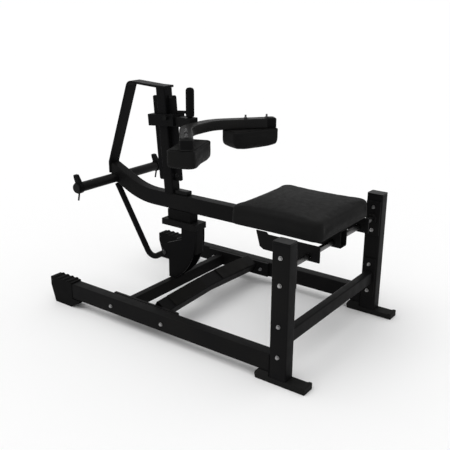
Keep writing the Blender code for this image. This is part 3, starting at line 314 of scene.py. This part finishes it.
TREAD_RUBBER = replace(
    RUBBER, name="tread_rubber", roughness=(0.58, 0.70), specular=0.05,
    colour=(0.0056, 0.0054, 0.0050), worn_colour=(0.0076, 0.0073, 0.0067),
    grain_size=0.0018, grain_depth=0.00018)
PLASTIC = Finish(
    "moulded_plastic", Slot.PLASTIC,
    colour=(0.0046, 0.0046, 0.0048), worn_colour=(0.0060, 0.0060, 0.0060),
    roughness=(0.30, 0.40), specular=0.05,
    grain=Grain.MOULDED, grain_size=0.0009, grain_depth=0.00005)
CAP_PLASTIC = replace(
    PLASTIC, name="dull_cap_plastic", roughness=(0.40, 0.52), specular=0.012,
    colour=(0.0060, 0.0060, 0.0062), worn_colour=(0.0080, 0.0080, 0.0080))
VINYL = Finish(
    "grained_vinyl", Slot.VINYL,
    colour=(0.0088, 0.0088, 0.0088), worn_colour=(0.0100, 0.0099, 0.0097),
    roughness=(0.48, 0.58), specular=0.024, sheen=0.005, patch_size=0.10,
    grain=Grain.LEATHER, grain_size=0.0017, grain_depth=0.00010)
BOARD = Finish(
    "painted_board", Slot.BOARD,
    colour=(0.0050, 0.0050, 0.0050), worn_colour=(0.0070, 0.0066, 0.0062),
    roughness=(0.62, 0.78), specular=0.06,
    grain=Grain.WOOD_FIBRE, grain_size=0.0020, grain_depth=0.00010)
BOLT_ZINC = Finish(
    "dulled_zinc", Slot.BOLT_STEEL,
    colour=(0.26, 0.26, 0.265), worn_colour=(0.38, 0.375, 0.37),
    roughness=(0.24, 0.36), specular=0.50, metallic=1.0,
    grain=Grain.TURNED, grain_size=0.0007, grain_depth=0.00003)
DARK_STEEL = replace(
    BOLT_ZINC, name="blackened_steel",
    colour=(0.080, 0.080, 0.083), worn_colour=(0.13, 0.128, 0.125))


@dataclass(frozen=True)
class Trim:
    """How the edges of a dressed node look.

    Edges that turn by more than sharp degrees are rounded over the width edge, in so many segments. With a
    width of 0 the edges stay as the node has them.
    """

    edge: float
    sharp: float = 50.0
    segments: int = 2


# The trims
AS_DRAWN = Trim(edge=0.0, sharp=35.0)
TUBE_TRIM = Trim(edge=0.0004)
PLATE_TRIM = Trim(edge=0.0005, sharp=35.0)
CHEEK_TRIM = Trim(edge=0.0004, sharp=40.0)
FIN_TRIM = Trim(edge=0.0007, sharp=40.0)
HEAD_TRIM = Trim(edge=0.0012)
UPRIGHT_CAP_TRIM = Trim(edge=0.0020, segments=3)
FOOT_TRIM = Trim(edge=0.0030, sharp=30.0, segments=3)
BOOT_TRIM = Trim(edge=0.0012, sharp=30.0, segments=3)
SHAFT_TRIM = Trim(edge=0.0006)
BUMPER_TRIM = Trim(edge=0.0006, sharp=40.0)
CATCH_TRIM = Trim(edge=0.0012, sharp=40.0, segments=3)
PIN_TRIM = Trim(edge=0.0007, sharp=40.0)
BAR_TRIM = Trim(edge=0.0025, sharp=40.0, segments=3)
COLLAR_TRIM = Trim(edge=0.0010, sharp=40.0, segments=3)
BOARD_TRIM = Trim(edge=0.0008, sharp=40.0)
PAD_BOLT_TRIM = Trim(edge=0.0006, sharp=40.0)
GRIP_TRIM = Trim(edge=0.0130, segments=6)


# Making pieces
class Workshop:
    """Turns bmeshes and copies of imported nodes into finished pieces."""

    @staticmethod
    def body_of(node: str) -> str:
        """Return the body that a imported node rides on."""
        return frame["nodes"][node]["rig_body"]

    @staticmethod
    def face_y(node: str, sign: float) -> float:
        """Return the Y of a node's left face, or of its right face where sign is above 0."""
        low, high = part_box(node)
        return high.y if sign > 0.0 else low.y

    @staticmethod
    def stand(name: str, bm: bmesh.types.BMesh) -> bpy.types.Object:
        """Put a bmesh drawn in place into the scene.

        Args:
            name: The object's name.
            bm: Its shape, which is freed.

        Returns:
            The new object.
        """
        mesh = bpy.data.meshes.new(name)
        bm.to_mesh(mesh)
        bm.free()
        made = bpy.data.objects.new(name, mesh)
        bpy.context.scene.collection.objects.link(made)
        return made

    @staticmethod
    def settle(piece: bpy.types.Object, finish: Finish, body: str, sharp: float) -> None:
        """Give a piece its finish, its shading and its body.

        Args:
            piece: The piece, with its place in its mesh.
            finish: The finish it takes.
            body: The body it rides on.
            sharp: Edges that turn by more than this many degrees stay sharp.
        """
        piece.data.materials.clear()
        piece.data.materials.append(finish.material())
        piece.data.shade_smooth()
        piece.data.set_sharp_from_angle(angle=math.radians(sharp))
        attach(piece, body)
        LOG.info("made %s", piece.name)

    @classmethod
    def piece(cls, name: str, bm: bmesh.types.BMesh, finish: Finish, body: str,
              sharp: float) -> bpy.types.Object:
        """Turn a bmesh drawn in place into a piece.

        Args:
            name: The piece's name.
            bm: Its shape, which is freed.
            finish: The finish it takes.
            body: The body it rides on.
            sharp: Edges that turn by more than this many degrees stay sharp.

        Returns:
            The new object.
        """
        bmesh.ops.recalc_face_normals(bm, faces=bm.faces)
        made = cls.stand(name, bm)
        cls.settle(made, finish, body, sharp)
        return made

    @staticmethod
    def merged(node: str) -> bmesh.types.BMesh:
        """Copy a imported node's mesh, merge its loose triangles and clear its flat faces.

        Args:
            node: The node's name.

        Returns:
            The clean copy.
        """
        bm = bmesh.new()
        bm.from_mesh(frame["nodes"][node].data)
        bmesh.ops.remove_doubles(bm, verts=bm.verts, dist=MERGE_DISTANCE)
        bmesh.ops.dissolve_limit(bm, angle_limit=FLAT_ANGLE, verts=bm.verts, edges=bm.edges)
        return bm

    @classmethod
    def dress(cls, node: str, finish: Finish, trim: Trim) -> None:
        """Make a finished piece from a node: clean faces, softly rounded edges and true shading.

        Args:
            node: The node that it stands for.
            finish: The finish it takes.
            trim: How its edges look.
        """
        made = cls.piece(f"{node}_finished", cls.merged(node), finish, cls.body_of(node), trim.sharp)
        if trim.edge > 0.0:
            bevel = made.modifiers.new("rounded_edges", "BEVEL")
            bevel.width = trim.edge
            bevel.segments = trim.segments
            bevel.limit_method = "ANGLE"
            bevel.angle_limit = math.radians(trim.sharp)
            bevel.miter_outer = "MITER_ARC"
        shading = made.modifiers.new("shading", "WEIGHTED_NORMAL")
        shading.keep_sharp = trim.edge <= 0.0
        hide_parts(node)


@dataclass(frozen=True)
class Rod:
    """A short round or many-sided bar with one eased rim, for heads, washers, nuts and thread ends."""

    radius: float
    length: float
    sides: int
    ease: float
    ease_steps: int = 2

    def draw(self, bm: bmesh.types.BMesh, foot: Vector, outward: Vector) -> None:
        """Add the bar to a bmesh.

        Args:
            bm: The bmesh to draw in.
            foot: The middle of its first end.
            outward: The direction that it runs in.
        """
        made = set(bmesh.ops.create_cone(bm, cap_ends=True, segments=self.sides, radius1=self.radius,
                                         radius2=self.radius, depth=self.length)["verts"])
        rims = [edge for vert in made for edge in vert.link_edges
                if edge.verts[0].co.z > 0.0 and edge.verts[1].co.z > 0.0]
        grown = bmesh.ops.bevel(bm, geom=list(set(rims)), offset=self.ease, segments=self.ease_steps,
                                affect="EDGES", profile=0.5, material=-1)
        made = {vert for vert in made if vert.is_valid} | set(grown["verts"])
        turn = outward.to_track_quat("Z", "Y").to_matrix().to_4x4()
        place = Matrix.Translation(foot) @ turn @ Matrix.Translation(UP * (self.length / 2))
        bmesh.ops.transform(bm, matrix=place, verts=list(made))


@dataclass(frozen=True)
class HexBolt:
    """A hexagon head or nut on a washer, with the end of the thread or a forged dimple."""

    washer: Rod = Rod(radius=0.0092, length=0.0016, sides=40, ease=0.0005)
    head: Rod = Rod(radius=0.0078, length=0.0056, sides=6, ease=0.0009)
    tip: Rod = Rod(radius=0.0044, length=0.0009, sides=24, ease=0.0003)

    def draw(self, bm: bmesh.types.BMesh, foot: Vector, outward: Vector) -> None:
        """Add the washer, the head and its raised middle to a bmesh.

        Args:
            bm: The bmesh to draw in.
            foot: The middle of the washer's seat.
            outward: The direction that the head looks in.
        """
        for part in (self.washer, self.head, self.tip):
            part.draw(bm, foot, outward)
            foot = foot + outward * part.length


BOLT = HexBolt()
NUT = HexBolt(head=Rod(radius=0.0078, length=0.0068, sides=6, ease=0.0008),
              tip=Rod(radius=0.0048, length=0.0040, sides=24, ease=0.0006))


@dataclass(frozen=True)
class Weld:
    """A bead of weld along a path, with the ripples that the torch leaves."""

    radius: float = 0.0022
    end_share: float = 0.55
    ripple: float = 0.00028
    pitch: float = 0.0024
    fewest_steps: int = 6
    sides: int = 8
    corner: float = 0.006

    def draw(self, bm: bmesh.types.BMesh, start: Vector, end: Vector) -> None:
        """Add a straight bead with tapered ends to a bmesh.

        Args:
            bm: The bmesh to draw in.
            start: Where the bead begins.
            end: Where it ends.
        """
        run = end - start
        along = run.normalized()
        across = along.orthogonal().normalized()
        up = along.cross(across)
        steps = max(self.fewest_steps, 2 * round(run.length / self.pitch))
        turns = [math.tau * side / self.sides for side in range(self.sides)]
        rings = []
        for step in range(steps + 1):
            radius = self.radius + self.ripple * (1.0 if step % 2 else -1.0)
            if step in (0, steps):
                radius = self.radius * self.end_share
            middle = start + run * (step / steps)
            rings.append([bm.verts.new(middle + radius * (across * math.cos(turn) + up * math.sin(turn)))
                          for turn in turns])
        for ring, following in zip(rings, rings[1:]):
            for side in range(self.sides):
                after = (side + 1) % self.sides
                bm.faces.new((ring[side], ring[after], following[after], following[side]))
        bm.faces.new(list(reversed(rings[0])))
        bm.faces.new(rings[-1])

    def round_box(self, bm: bmesh.types.BMesh, low: Vector, high: Vector, axis: int,
                  level: float) -> None:
        """Add the four beads round a square tube that meets a face, clear of the tube's round corners.

        Args:
            bm: The bmesh to draw in.
            low: The tube's lowest corner.
            high: The tube's highest corner.
            axis: The axis that the tube runs along.
            level: Where the face lies on that axis.
        """
        first, second = (index for index in range(3) if index != axis)
        for fixed, free in ((first, second), (second, first)):
            for side in (low, high):
                start = Vector()
                start[axis] = level
                start[fixed] = side[fixed]
                end = start.copy()
                start[free] = low[free] + self.corner
                end[free] = high[free] - self.corner
                self.draw(bm, start, end)


# The base and its fasteners
@dataclass(frozen=True)
class Base:
    """The welded base: tubes, feet, plates, beam and shaft, with every bolt that shows.

    Places are world coordinates. The bead on a cheek is given by its heights over the cheek's low end, and
    the one on the stop head by its distances ahead of the head's rear end.
    """

    upright_bolt_heights: tuple[float, ...] = (0.557, 0.442, 0.264, 0.127)
    rail_bolt_places: Pair = (-0.323, -0.004)
    rail_bolt_height: float = 0.085
    boot_bolt_place: float = -0.640
    clearance: float = 0.0003
    cheek_bead: Pair = (0.004, 0.080)
    head_bead: Pair = (0.075, 0.012)
    weld: Weld = Weld()

    def build(self) -> None:
        """Dress the base's nodes and add its fasteners and welds."""
        for side, sign in SIDES:
            for node in ("upright", "base_rail"):
                Workshop.dress(f"{node}_{side}", POWDER_COAT, TUBE_TRIM)
            for node in ("rail_plate", "shaft_flange", "beam_plate"):
                Workshop.dress(f"{node}_{side}", POWDER_COAT, PLATE_TRIM)
            Workshop.dress(f"upright_cap_{side}", PLASTIC, UPRIGHT_CAP_TRIM)
            Workshop.dress(f"rear_foot_{side}", LIT_FOOT_RUBBER, FOOT_TRIM)
            Workshop.dress(f"front_boot_{side}", RUBBER, BOOT_TRIM)
            Workshop.dress(f"foot_tread_{side}", TREAD_RUBBER, AS_DRAWN)
            self.bolts(side, sign)
        for node in ("cross_tube", "rear_beam", "foot_bar"):
            Workshop.dress(node, POWDER_COAT, TUBE_TRIM)
        Workshop.dress("pivot_shaft", DARK_STEEL, SHAFT_TRIM)
        self.welds()

    def bolts(self, side: str, sign: float) -> None:
        """Add the bolts of one side frame: heads outside, nuts inside.

        The boot's bolt has its head inside, and its end is hidden in the boot.

        Args:
            side: The side's name.
            sign: -1 for the left side and 1 for the right.
        """
        upright = f"upright_{side}"
        low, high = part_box(upright)
        body = Workshop.body_of(upright)
        upright_spots = [((low.x + high.x) / 2, height) for height in self.upright_bolt_heights]
        rail_spots = [(place, self.rail_bolt_height) for place in self.rail_bolt_places]
        boot_spots = [(self.boot_bolt_place, self.rail_bolt_height)]
        heads, rails, nuts = bmesh.new(), bmesh.new(), bmesh.new()
        self.fasten(heads, BOLT, upright_spots, upright, sign)
        self.fasten(rails, BOLT, rail_spots, upright, sign)
        self.fasten(nuts, NUT, upright_spots, f"beam_plate_{side}", -sign)
        self.fasten(nuts, NUT, rail_spots, f"rail_plate_{side}", -sign)
        self.fasten(nuts, BOLT, boot_spots, f"front_boot_{side}", -sign)
        made = Workshop.piece(f"upright_bolts_{side}", heads, BOLT_ZINC, body, FASTENER_SHARP)
        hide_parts(*(f"shaft_bolt_{side}_{number}" for number in (1, 2)))
        Workshop.piece(f"rail_bolts_{side}", rails, BOLT_ZINC, body, FASTENER_SHARP)
        Workshop.piece(f"frame_nuts_{side}", nuts, BOLT_ZINC, body, FASTENER_SHARP)

    def fasten(self, bm: bmesh.types.BMesh, kind: HexBolt, spots: list[Pair], node: str,
               sign: float) -> None:
        """Add bolt heads or nuts on one side face of a node.

        Args:
            bm: The bmesh to draw in.
            kind: The bolt head or nut.
            spots: Where they are, as X and Z.
            node: The node that they are seated on.
            sign: -1 for its left face and 1 for its right.
        """
        seat = Workshop.face_y(node, sign) + sign * self.clearance
        for x, z in spots:
            kind.draw(bm, Vector((x, seat, z)), Vector((0.0, sign, 0.0)))

    def welds(self) -> None:
        """Add the beads where the base's tubes and plates meet."""
        beads = bmesh.new()
        for side, sign in SIDES:
            low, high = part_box(f"base_rail_{side}")
            self.weld.round_box(beads, low, high, AXIS_X, high.x)
            for node in ("cross_tube", "rear_beam"):
                self.weld.round_box(beads, *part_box(node), AXIS_Y, Workshop.face_y(node, sign))
        stem_low, stem_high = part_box("post_stem")
        self.weld.round_box(beads, stem_low, stem_high, AXIS_Z, stem_low.z)
        head_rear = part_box("stop_head")[1].x
        for side, sign in SIDES:
            cheek = f"post_cheek_{side}"
            low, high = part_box(cheek)
            inner, outer = Workshop.face_y(cheek, -sign), Workshop.face_y(cheek, sign)
            for place in (stem_low.x, stem_high.x):
                self.weld.draw(beads, *(Vector((place, inner, low.z + rise)) for rise in self.cheek_bead))
            self.weld.draw(beads, *(Vector((head_rear - back, outer, high.z)) for back in self.head_bead))
        Workshop.piece("base_welds", beads, POWDER_COAT, Workshop.body_of("post_stem"), BEAD_SHARP)


# The stop post and the safety catch
class StopPost:
    """The post under the lever with its bumper, and the catch that turns on it."""

    def build(self) -> None:
        """Dress the post's nodes and the catch."""
        Workshop.dress("post_stem", POWDER_COAT, TUBE_TRIM)
        Workshop.dress("stop_head", POWDER_COAT, HEAD_TRIM)
        for side, _ in SIDES:
            Workshop.dress(f"post_cheek_{side}", SHADED_COAT, CHEEK_TRIM)
        Workshop.dress("stop_bumper", RUBBER, BUMPER_TRIM)
        Workshop.dress("safety_catch", SHADED_COAT, CATCH_TRIM)
        Workshop.dress("catch_pin", DARK_STEEL, PIN_TRIM)


# The lever with its mast, strap, bar and collars
@dataclass(frozen=True)
class Lever:
    """The lever without its seat: arm, mast, fins, strap, lug, side plates, bar and collars.

    The mast's foot is what lies no further than the foot band above the arm.
    """

    weld: Weld = Weld()
    foot_band: float = 0.004
    bar_bead_steps: int = 24

    def build(self) -> None:
        """Dress the lever's nodes and add its welds."""
        Workshop.dress("lever_arm", POWDER_COAT, TUBE_TRIM)
        Workshop.dress("mast_tube", SHADED_COAT, TUBE_TRIM)
        for end in ("front", "rear"):
            Workshop.dress(f"mast_fin_{end}", SHADED_COAT, FIN_TRIM)
        Workshop.dress("strap", SHADED_COAT, AS_DRAWN)
        Workshop.dress("arm_lug", PLASTIC, AS_DRAWN)
        Workshop.dress("weight_bar", BAR_PAINT, BAR_TRIM)
        for side, _ in SIDES:
            Workshop.dress(f"seat_plate_{side}", POWDER_COAT, AS_DRAWN)
            Workshop.dress(f"collar_{side}", SHADED_COAT, COLLAR_TRIM)
        self.welds()

    def welds(self) -> None:
        """Add the beads at the mast's foot and round the weight bar.

        The fins get none, because the sleeve slides along them.
        """
        beads = bmesh.new()
        arm_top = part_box("seat_board")[0].z        # the board lies on the arm
        mast = [vert.co for vert in frame["nodes"]["mast_tube"].data.vertices]
        foot = [place for place in mast if place.z < arm_top + self.foot_band]
        low = Vector((min(place.x for place in foot), min(place.y for place in foot), arm_top))
        high = Vector((max(place.x for place in foot), max(place.y for place in foot), arm_top))
        self.weld.round_box(beads, low, high, AXIS_Z, arm_top)
        bar_low, bar_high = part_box("weight_bar")
        middle = (bar_low + bar_high) / 2
        radius = (bar_high.z - bar_low.z) / 2
        half = (high.y - low.y) / 2                # the arm is as wide as the mast
        turns = [math.tau * step / self.bar_bead_steps for step in range(self.bar_bead_steps + 1)]
        for _, sign in SIDES:
            ring = [Vector((middle.x + radius * math.cos(turn), sign * half,
                            middle.z + radius * math.sin(turn))) for turn in turns]
            for start, end in zip(ring, ring[1:]):
                self.weld.draw(beads, start, end)
        Workshop.piece("lever_welds", beads, POWDER_COAT, Workshop.body_of("lever_arm"), BEAD_SHARP)


# The carriage with its yoke and grip
@dataclass(frozen=True)
class Carriage:
    """The sliding carriage: sleeve, stem, yoke with its end caps, grip, strut, pin, boards and pad bolts.

    The seat's board is made like the pads' boards, so it is dressed here too.

    A cap stands out over the yoke by its wall. Its underside is its lift higher than the yoke's, clear of
    the pad's board. The end of an arm of the yoke is what lies in the end band.
    """

    cap_length: float = 0.052
    cap_wall: float = 0.0014
    cap_lift: float = 0.0006
    cap_round: float = 0.0100
    cap_steps: int = 5
    end_band: float = 0.001

    def build(self) -> None:
        """Dress the carriage's nodes and the seat's board, and add the yoke's end caps."""
        Workshop.dress("carriage_sleeve", SHADED_COAT, AS_DRAWN)
        Workshop.dress("carriage_stem", POWDER_COAT, AS_DRAWN)
        Workshop.dress("grip_strut", POWDER_COAT, AS_DRAWN)
        Workshop.dress("yoke", LIT_COAT, TUBE_TRIM)
        Workshop.dress("grip", RUBBER, GRIP_TRIM)
        Workshop.dress("pull_pin", PLASTIC, PIN_TRIM)
        for side, _ in SIDES:
            Workshop.dress(f"pad_board_{side}", BOARD, BOARD_TRIM)
            for number in (1, 2):
                Workshop.dress(f"pad_bolt_{side}_{number}", DARK_STEEL, PAD_BOLT_TRIM)
        Workshop.dress("seat_board", BOARD, BOARD_TRIM)
        for side, sign in SIDES:
            self.end_cap(side, sign)

    def end_cap(self, side: str, sign: float) -> None:
        """Slip a moulded cap over one end of the yoke, in line with the arm that the two pad bolts mark.

        Args:
            side: The side's name.
            sign: -1 for the left side and 1 for the right.
        """
        spots = [vert.co.copy() for vert in frame["nodes"]["yoke"].data.vertices if vert.co.y * sign > 0.0]
        bolts = [sum(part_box(f"pad_bolt_{side}_{number}"), Vector()) / 2 for number in (1, 2)]
        along = bolts[0] - bolts[1]
        along = Vector((along.x, along.y, 0.0)).normalized()
        across = Vector((-along.y, along.x, 0.0))
        reach = max(spot.dot(along) for spot in spots)
        ends = [spot for spot in spots if spot.dot(along) > reach - self.end_band]
        low, high = min(spot.z for spot in ends), max(spot.z for spot in ends)
        left, right = min(spot.dot(across) for spot in ends), max(spot.dot(across) for spot in ends)
        length = self.cap_length + self.cap_wall
        width = right - left + 2 * self.cap_wall
        height = high - low + self.cap_wall - self.cap_lift
        bm = bmesh.new()
        made = bmesh.ops.create_cube(bm, size=1.0)["verts"]
        bmesh.ops.scale(bm, vec=(length, width, height), verts=made)
        middle = (along * (reach + self.cap_wall - length / 2) + across * (left + right) / 2
                  + UP * (low + self.cap_lift + height / 2))
        turn = Matrix((along, across, UP)).transposed().to_4x4()
        bmesh.ops.transform(bm, matrix=Matrix.Translation(middle) @ turn, verts=made)
        bmesh.ops.bevel(bm, geom=list(bm.edges), offset=self.cap_round, segments=self.cap_steps,
                        affect="EDGES", profile=0.5, material=-1)
        Workshop.piece(f"yoke_cap_{side}", bm, CAP_PLASTIC, Workshop.body_of("yoke"), BEAD_SHARP)


# Cushions
@dataclass(frozen=True)
class Cushion:
    """A foam cushion under a tight vinyl cover, blown up by a cloth simulation.

    The band beside the board keeps its place, because the cover is stapled there.
    """

    node: str
    name: str
    flat_side_up: bool
    voxel: float = 0.005
    shrink: float = 0.0022
    cap: float = 0.0050
    flat_band: float = 0.016
    fill: float = 0.8
    frames: int = 20
    quality: int = 6
    pressure: float = 4.0
    stretch_stiffness: float = 30.0
    bending_stiffness: float = 12.0
    easings: int = 8
    ease_share: float = 0.5

    def build(self) -> None:
        """Make the cushion and let it stand for its node."""
        bm = Workshop.merged(self.node)
        bmesh.ops.recalc_face_normals(bm, faces=bm.faces)
        pad = Workshop.stand(self.name, bm)
        self.remesh(pad)
        self.blow_up(pad)
        self.ease(pad)
        smooth = pad.modifiers.new("fine_cover", "SUBSURF")
        smooth.levels = 1
        smooth.render_levels = 1
        Workshop.settle(pad, VINYL, Workshop.body_of(self.node), ALL_SMOOTH)
        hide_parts(self.node)

    def remesh(self, pad: bpy.types.Object) -> None:
        """Give the cushion an even mesh of small squares.

        Args:
            pad: The cushion's object.
        """
        even = pad.modifiers.new("even_mesh", "REMESH")
        even.mode = "VOXEL"
        even.voxel_size = self.voxel
        even.adaptivity = 0.0
        graph = bpy.context.evaluated_depsgraph_get()
        made = bpy.data.meshes.new_from_object(pad.evaluated_get(graph))
        pad.modifiers.clear()
        pad.data = made

    def held(self, pad: bpy.types.Object) -> list[int]:
        """Find the points in the stapled band beside the board.

        Args:
            pad: The cushion's object.

        Returns:
            The indices of the points where the cover doesn't move.
        """
        heights = [vert.co.z for vert in pad.data.vertices]
        if self.flat_side_up:
            level = max(heights) - self.flat_band
            return [index for index, height in enumerate(heights) if height > level]
        level = min(heights) + self.flat_band
        return [index for index, height in enumerate(heights) if height < level]

    def blow_up(self, pad: bpy.types.Object) -> None:
        """Shrink the cover a little and let air pressure fill it again, by no more than the cap.

        Args:
            pad: The cushion's object.
        """
        verts = pad.data.vertices
        held = self.held(pad)
        pad.vertex_groups.new(name="stapled").add(held, 1.0, "REPLACE")
        free = sorted(set(range(len(verts))) - set(held))
        normals = [verts[index].normal.copy() for index in free]
        for index, normal in zip(free, normals):
            verts[index].co -= normal * self.shrink
        start = [vert.co.copy() for vert in verts]
        for vert, before, after in zip(verts, start, self.simulate(pad)):
            move = after - before
            if move.length > self.cap:
                move *= self.cap / move.length
            vert.co = before + move
        pad.vertex_groups.clear()

    def simulate(self, pad: bpy.types.Object) -> list[Vector]:
        """Run the cloth simulation and leave the cushion's mesh as it was.

        Args:
            pad: The cushion's object, with its stapled points in a group.

        Returns:
            Where the air pressure takes each point.
        """
        cloth = pad.modifiers.new("cover", "CLOTH")
        cloth.settings.quality = self.quality
        cloth.settings.use_pressure = True
        cloth.settings.uniform_pressure_force = self.pressure
        cloth.settings.vertex_group_mass = "stapled"
        cloth.settings.tension_stiffness = self.stretch_stiffness
        cloth.settings.compression_stiffness = self.stretch_stiffness
        cloth.settings.bending_stiffness = self.bending_stiffness
        cloth.settings.effector_weights.gravity = 0.0
        cloth.point_cache.frame_start = 1
        cloth.point_cache.frame_end = self.frames
        scene = bpy.context.scene
        for step in range(1, self.frames + 1):
            scene.frame_set(step)
        graph = bpy.context.evaluated_depsgraph_get()
        moved = [vert.co.copy() for vert in pad.evaluated_get(graph).data.vertices]
        pad.modifiers.remove(cloth)
        scene.frame_set(1)
        return moved

    def ease(self, pad: bpy.types.Object) -> None:
        """Press the small folds out of the cover, as the foam under it does.

        Args:
            pad: The cushion's object.
        """
        bm = bmesh.new()
        bm.from_mesh(pad.data)
        for _ in range(self.easings):
            bmesh.ops.smooth_vert(bm, verts=list(bm.verts), factor=self.ease_share, use_axis_x=True,
                                  use_axis_y=True, use_axis_z=True)
        bm.to_mesh(pad.data)
        bm.free()


# The studio
@dataclass(frozen=True)
class Studio:
    """The floor, the light and the camera.

    The focal length is in pixels of the photograph, and the sensor's width in millimetres.
    """

    floor_radius: float = 300.0
    floor_sides: int = 96
    floor_colour: Triple = (0.98, 0.98, 0.98)
    floor_roughness: float = 0.9
    sky_level: float = 0.76
    sun_level: float = 0.90
    sun_softness: float = math.radians(50.0)
    sun_direction: Triple = (0.22, 0.34, -1.0)
    camera_place: Triple = (1.901, -2.551, 1.530)
    camera_azimuth: float = math.radians(36.30)
    camera_down: float = math.radians(18.88)
    camera_roll: float = math.radians(-0.27)
    camera_sight: float = 1200.0
    focal_pixels: float = 689.7
    image_pixels: float = 450.0
    sensor: float = 36.0

    def build(self) -> None:
        """Set up the floor, the light and the camera."""
        self.floor()
        self.sky()
        self.sun()
        self.camera()
        view = bpy.context.scene.view_settings
        view.view_transform = "Standard"

    def floor(self) -> None:
        """Lay a plain pale floor that takes the machine's shadow."""
        bm = bmesh.new()
        bmesh.ops.create_circle(bm, cap_ends=True, segments=self.floor_sides, radius=self.floor_radius)
        floor = Workshop.stand("studio_floor", bm)
        paper = bpy.data.materials.new("studio_paper")
        paper.use_nodes = True
        shader = paper.node_tree.nodes["Principled BSDF"]
        shader.inputs["Base Color"].default_value = (*self.floor_colour, 1.0)
        shader.inputs["Roughness"].default_value = self.floor_roughness
        shader.inputs["Specular IOR Level"].default_value = 0.0
        floor.data.materials.append(paper)

    def sky(self) -> None:
        """Light softly from all round, and show plain white behind the machine and in reflections."""
        world = bpy.data.worlds.new("studio_sky")
        bpy.context.scene.world = world
        world.use_nodes = True
        tree = world.node_tree
        soft = tree.nodes["Background"]
        white = tree.nodes.new("ShaderNodeBackground")
        for light, level in ((soft, self.sky_level), (white, 1.0)):
            light.inputs["Color"].default_value = WHITE
            light.inputs["Strength"].default_value = level
        rays = tree.nodes.new("ShaderNodeLightPath")
        seen = rays.outputs["Is Camera Ray"]
        for kind in ("Is Glossy Ray", "Is Transmission Ray"):
            either = tree.nodes.new("ShaderNodeMath")
            either.operation = "MAXIMUM"
            tree.links.new(seen, either.inputs[0])
            tree.links.new(rays.outputs[kind], either.inputs[1])
            seen = either.outputs["Value"]
        mix = tree.nodes.new("ShaderNodeMixShader")
        tree.links.new(seen, mix.inputs["Fac"])
        tree.links.new(soft.outputs["Background"], mix.inputs[1])
        tree.links.new(white.outputs["Background"], mix.inputs[2])
        tree.links.new(mix.outputs["Shader"], tree.nodes["World Output"].inputs["Surface"])

    def sun(self) -> None:
        """Add a broad soft light from above, a little from the machine's front left."""
        lamp = bpy.data.lights.new("soft_sun", "SUN")
        lamp.energy = self.sun_level
        lamp.angle = self.sun_softness
        holder = bpy.data.objects.new("soft_sun", lamp)
        bpy.context.scene.collection.objects.link(holder)
        holder.rotation_mode = "QUATERNION"
        holder.rotation_quaternion = Vector(self.sun_direction).to_track_quat("-Z", "Y")

    def camera(self) -> None:
        """Place the camera as the photograph's was."""
        data = bpy.data.cameras.new("camera")
        data.sensor_width = self.sensor
        data.lens = self.focal_pixels / self.image_pixels * self.sensor
        data.clip_end = self.camera_sight
        camera = bpy.data.objects.new("camera", data)
        bpy.context.scene.collection.objects.link(camera)
        ahead = Vector((-math.sin(self.camera_azimuth) * math.cos(self.camera_down),
                        math.cos(self.camera_azimuth) * math.cos(self.camera_down),
                        -math.sin(self.camera_down)))
        upright = ahead.to_track_quat("-Z", "Y")
        camera.rotation_mode = "QUATERNION"
        camera.rotation_quaternion = Matrix.Rotation(self.camera_roll, 3, ahead).to_quaternion() @ upright
        camera.location = self.camera_place
        bpy.context.scene.camera = camera


def main() -> None:
    """Build the dressed machine and its studio."""
    logging.basicConfig(level=logging.INFO)
    Studio().build()
    Base().build()
    StopPost().build()
    Lever().build()
    Carriage().build()
    Cushion("seat_pad", "seat_cushion", flat_side_up=False).build()
    for side, _ in SIDES:
        Cushion(f"thigh_pad_{side}", f"thigh_cushion_{side}", flat_side_up=True, voxel=0.004,
                flat_band=0.014, cap=0.004).build()


if __name__ == "__main__":
    main()
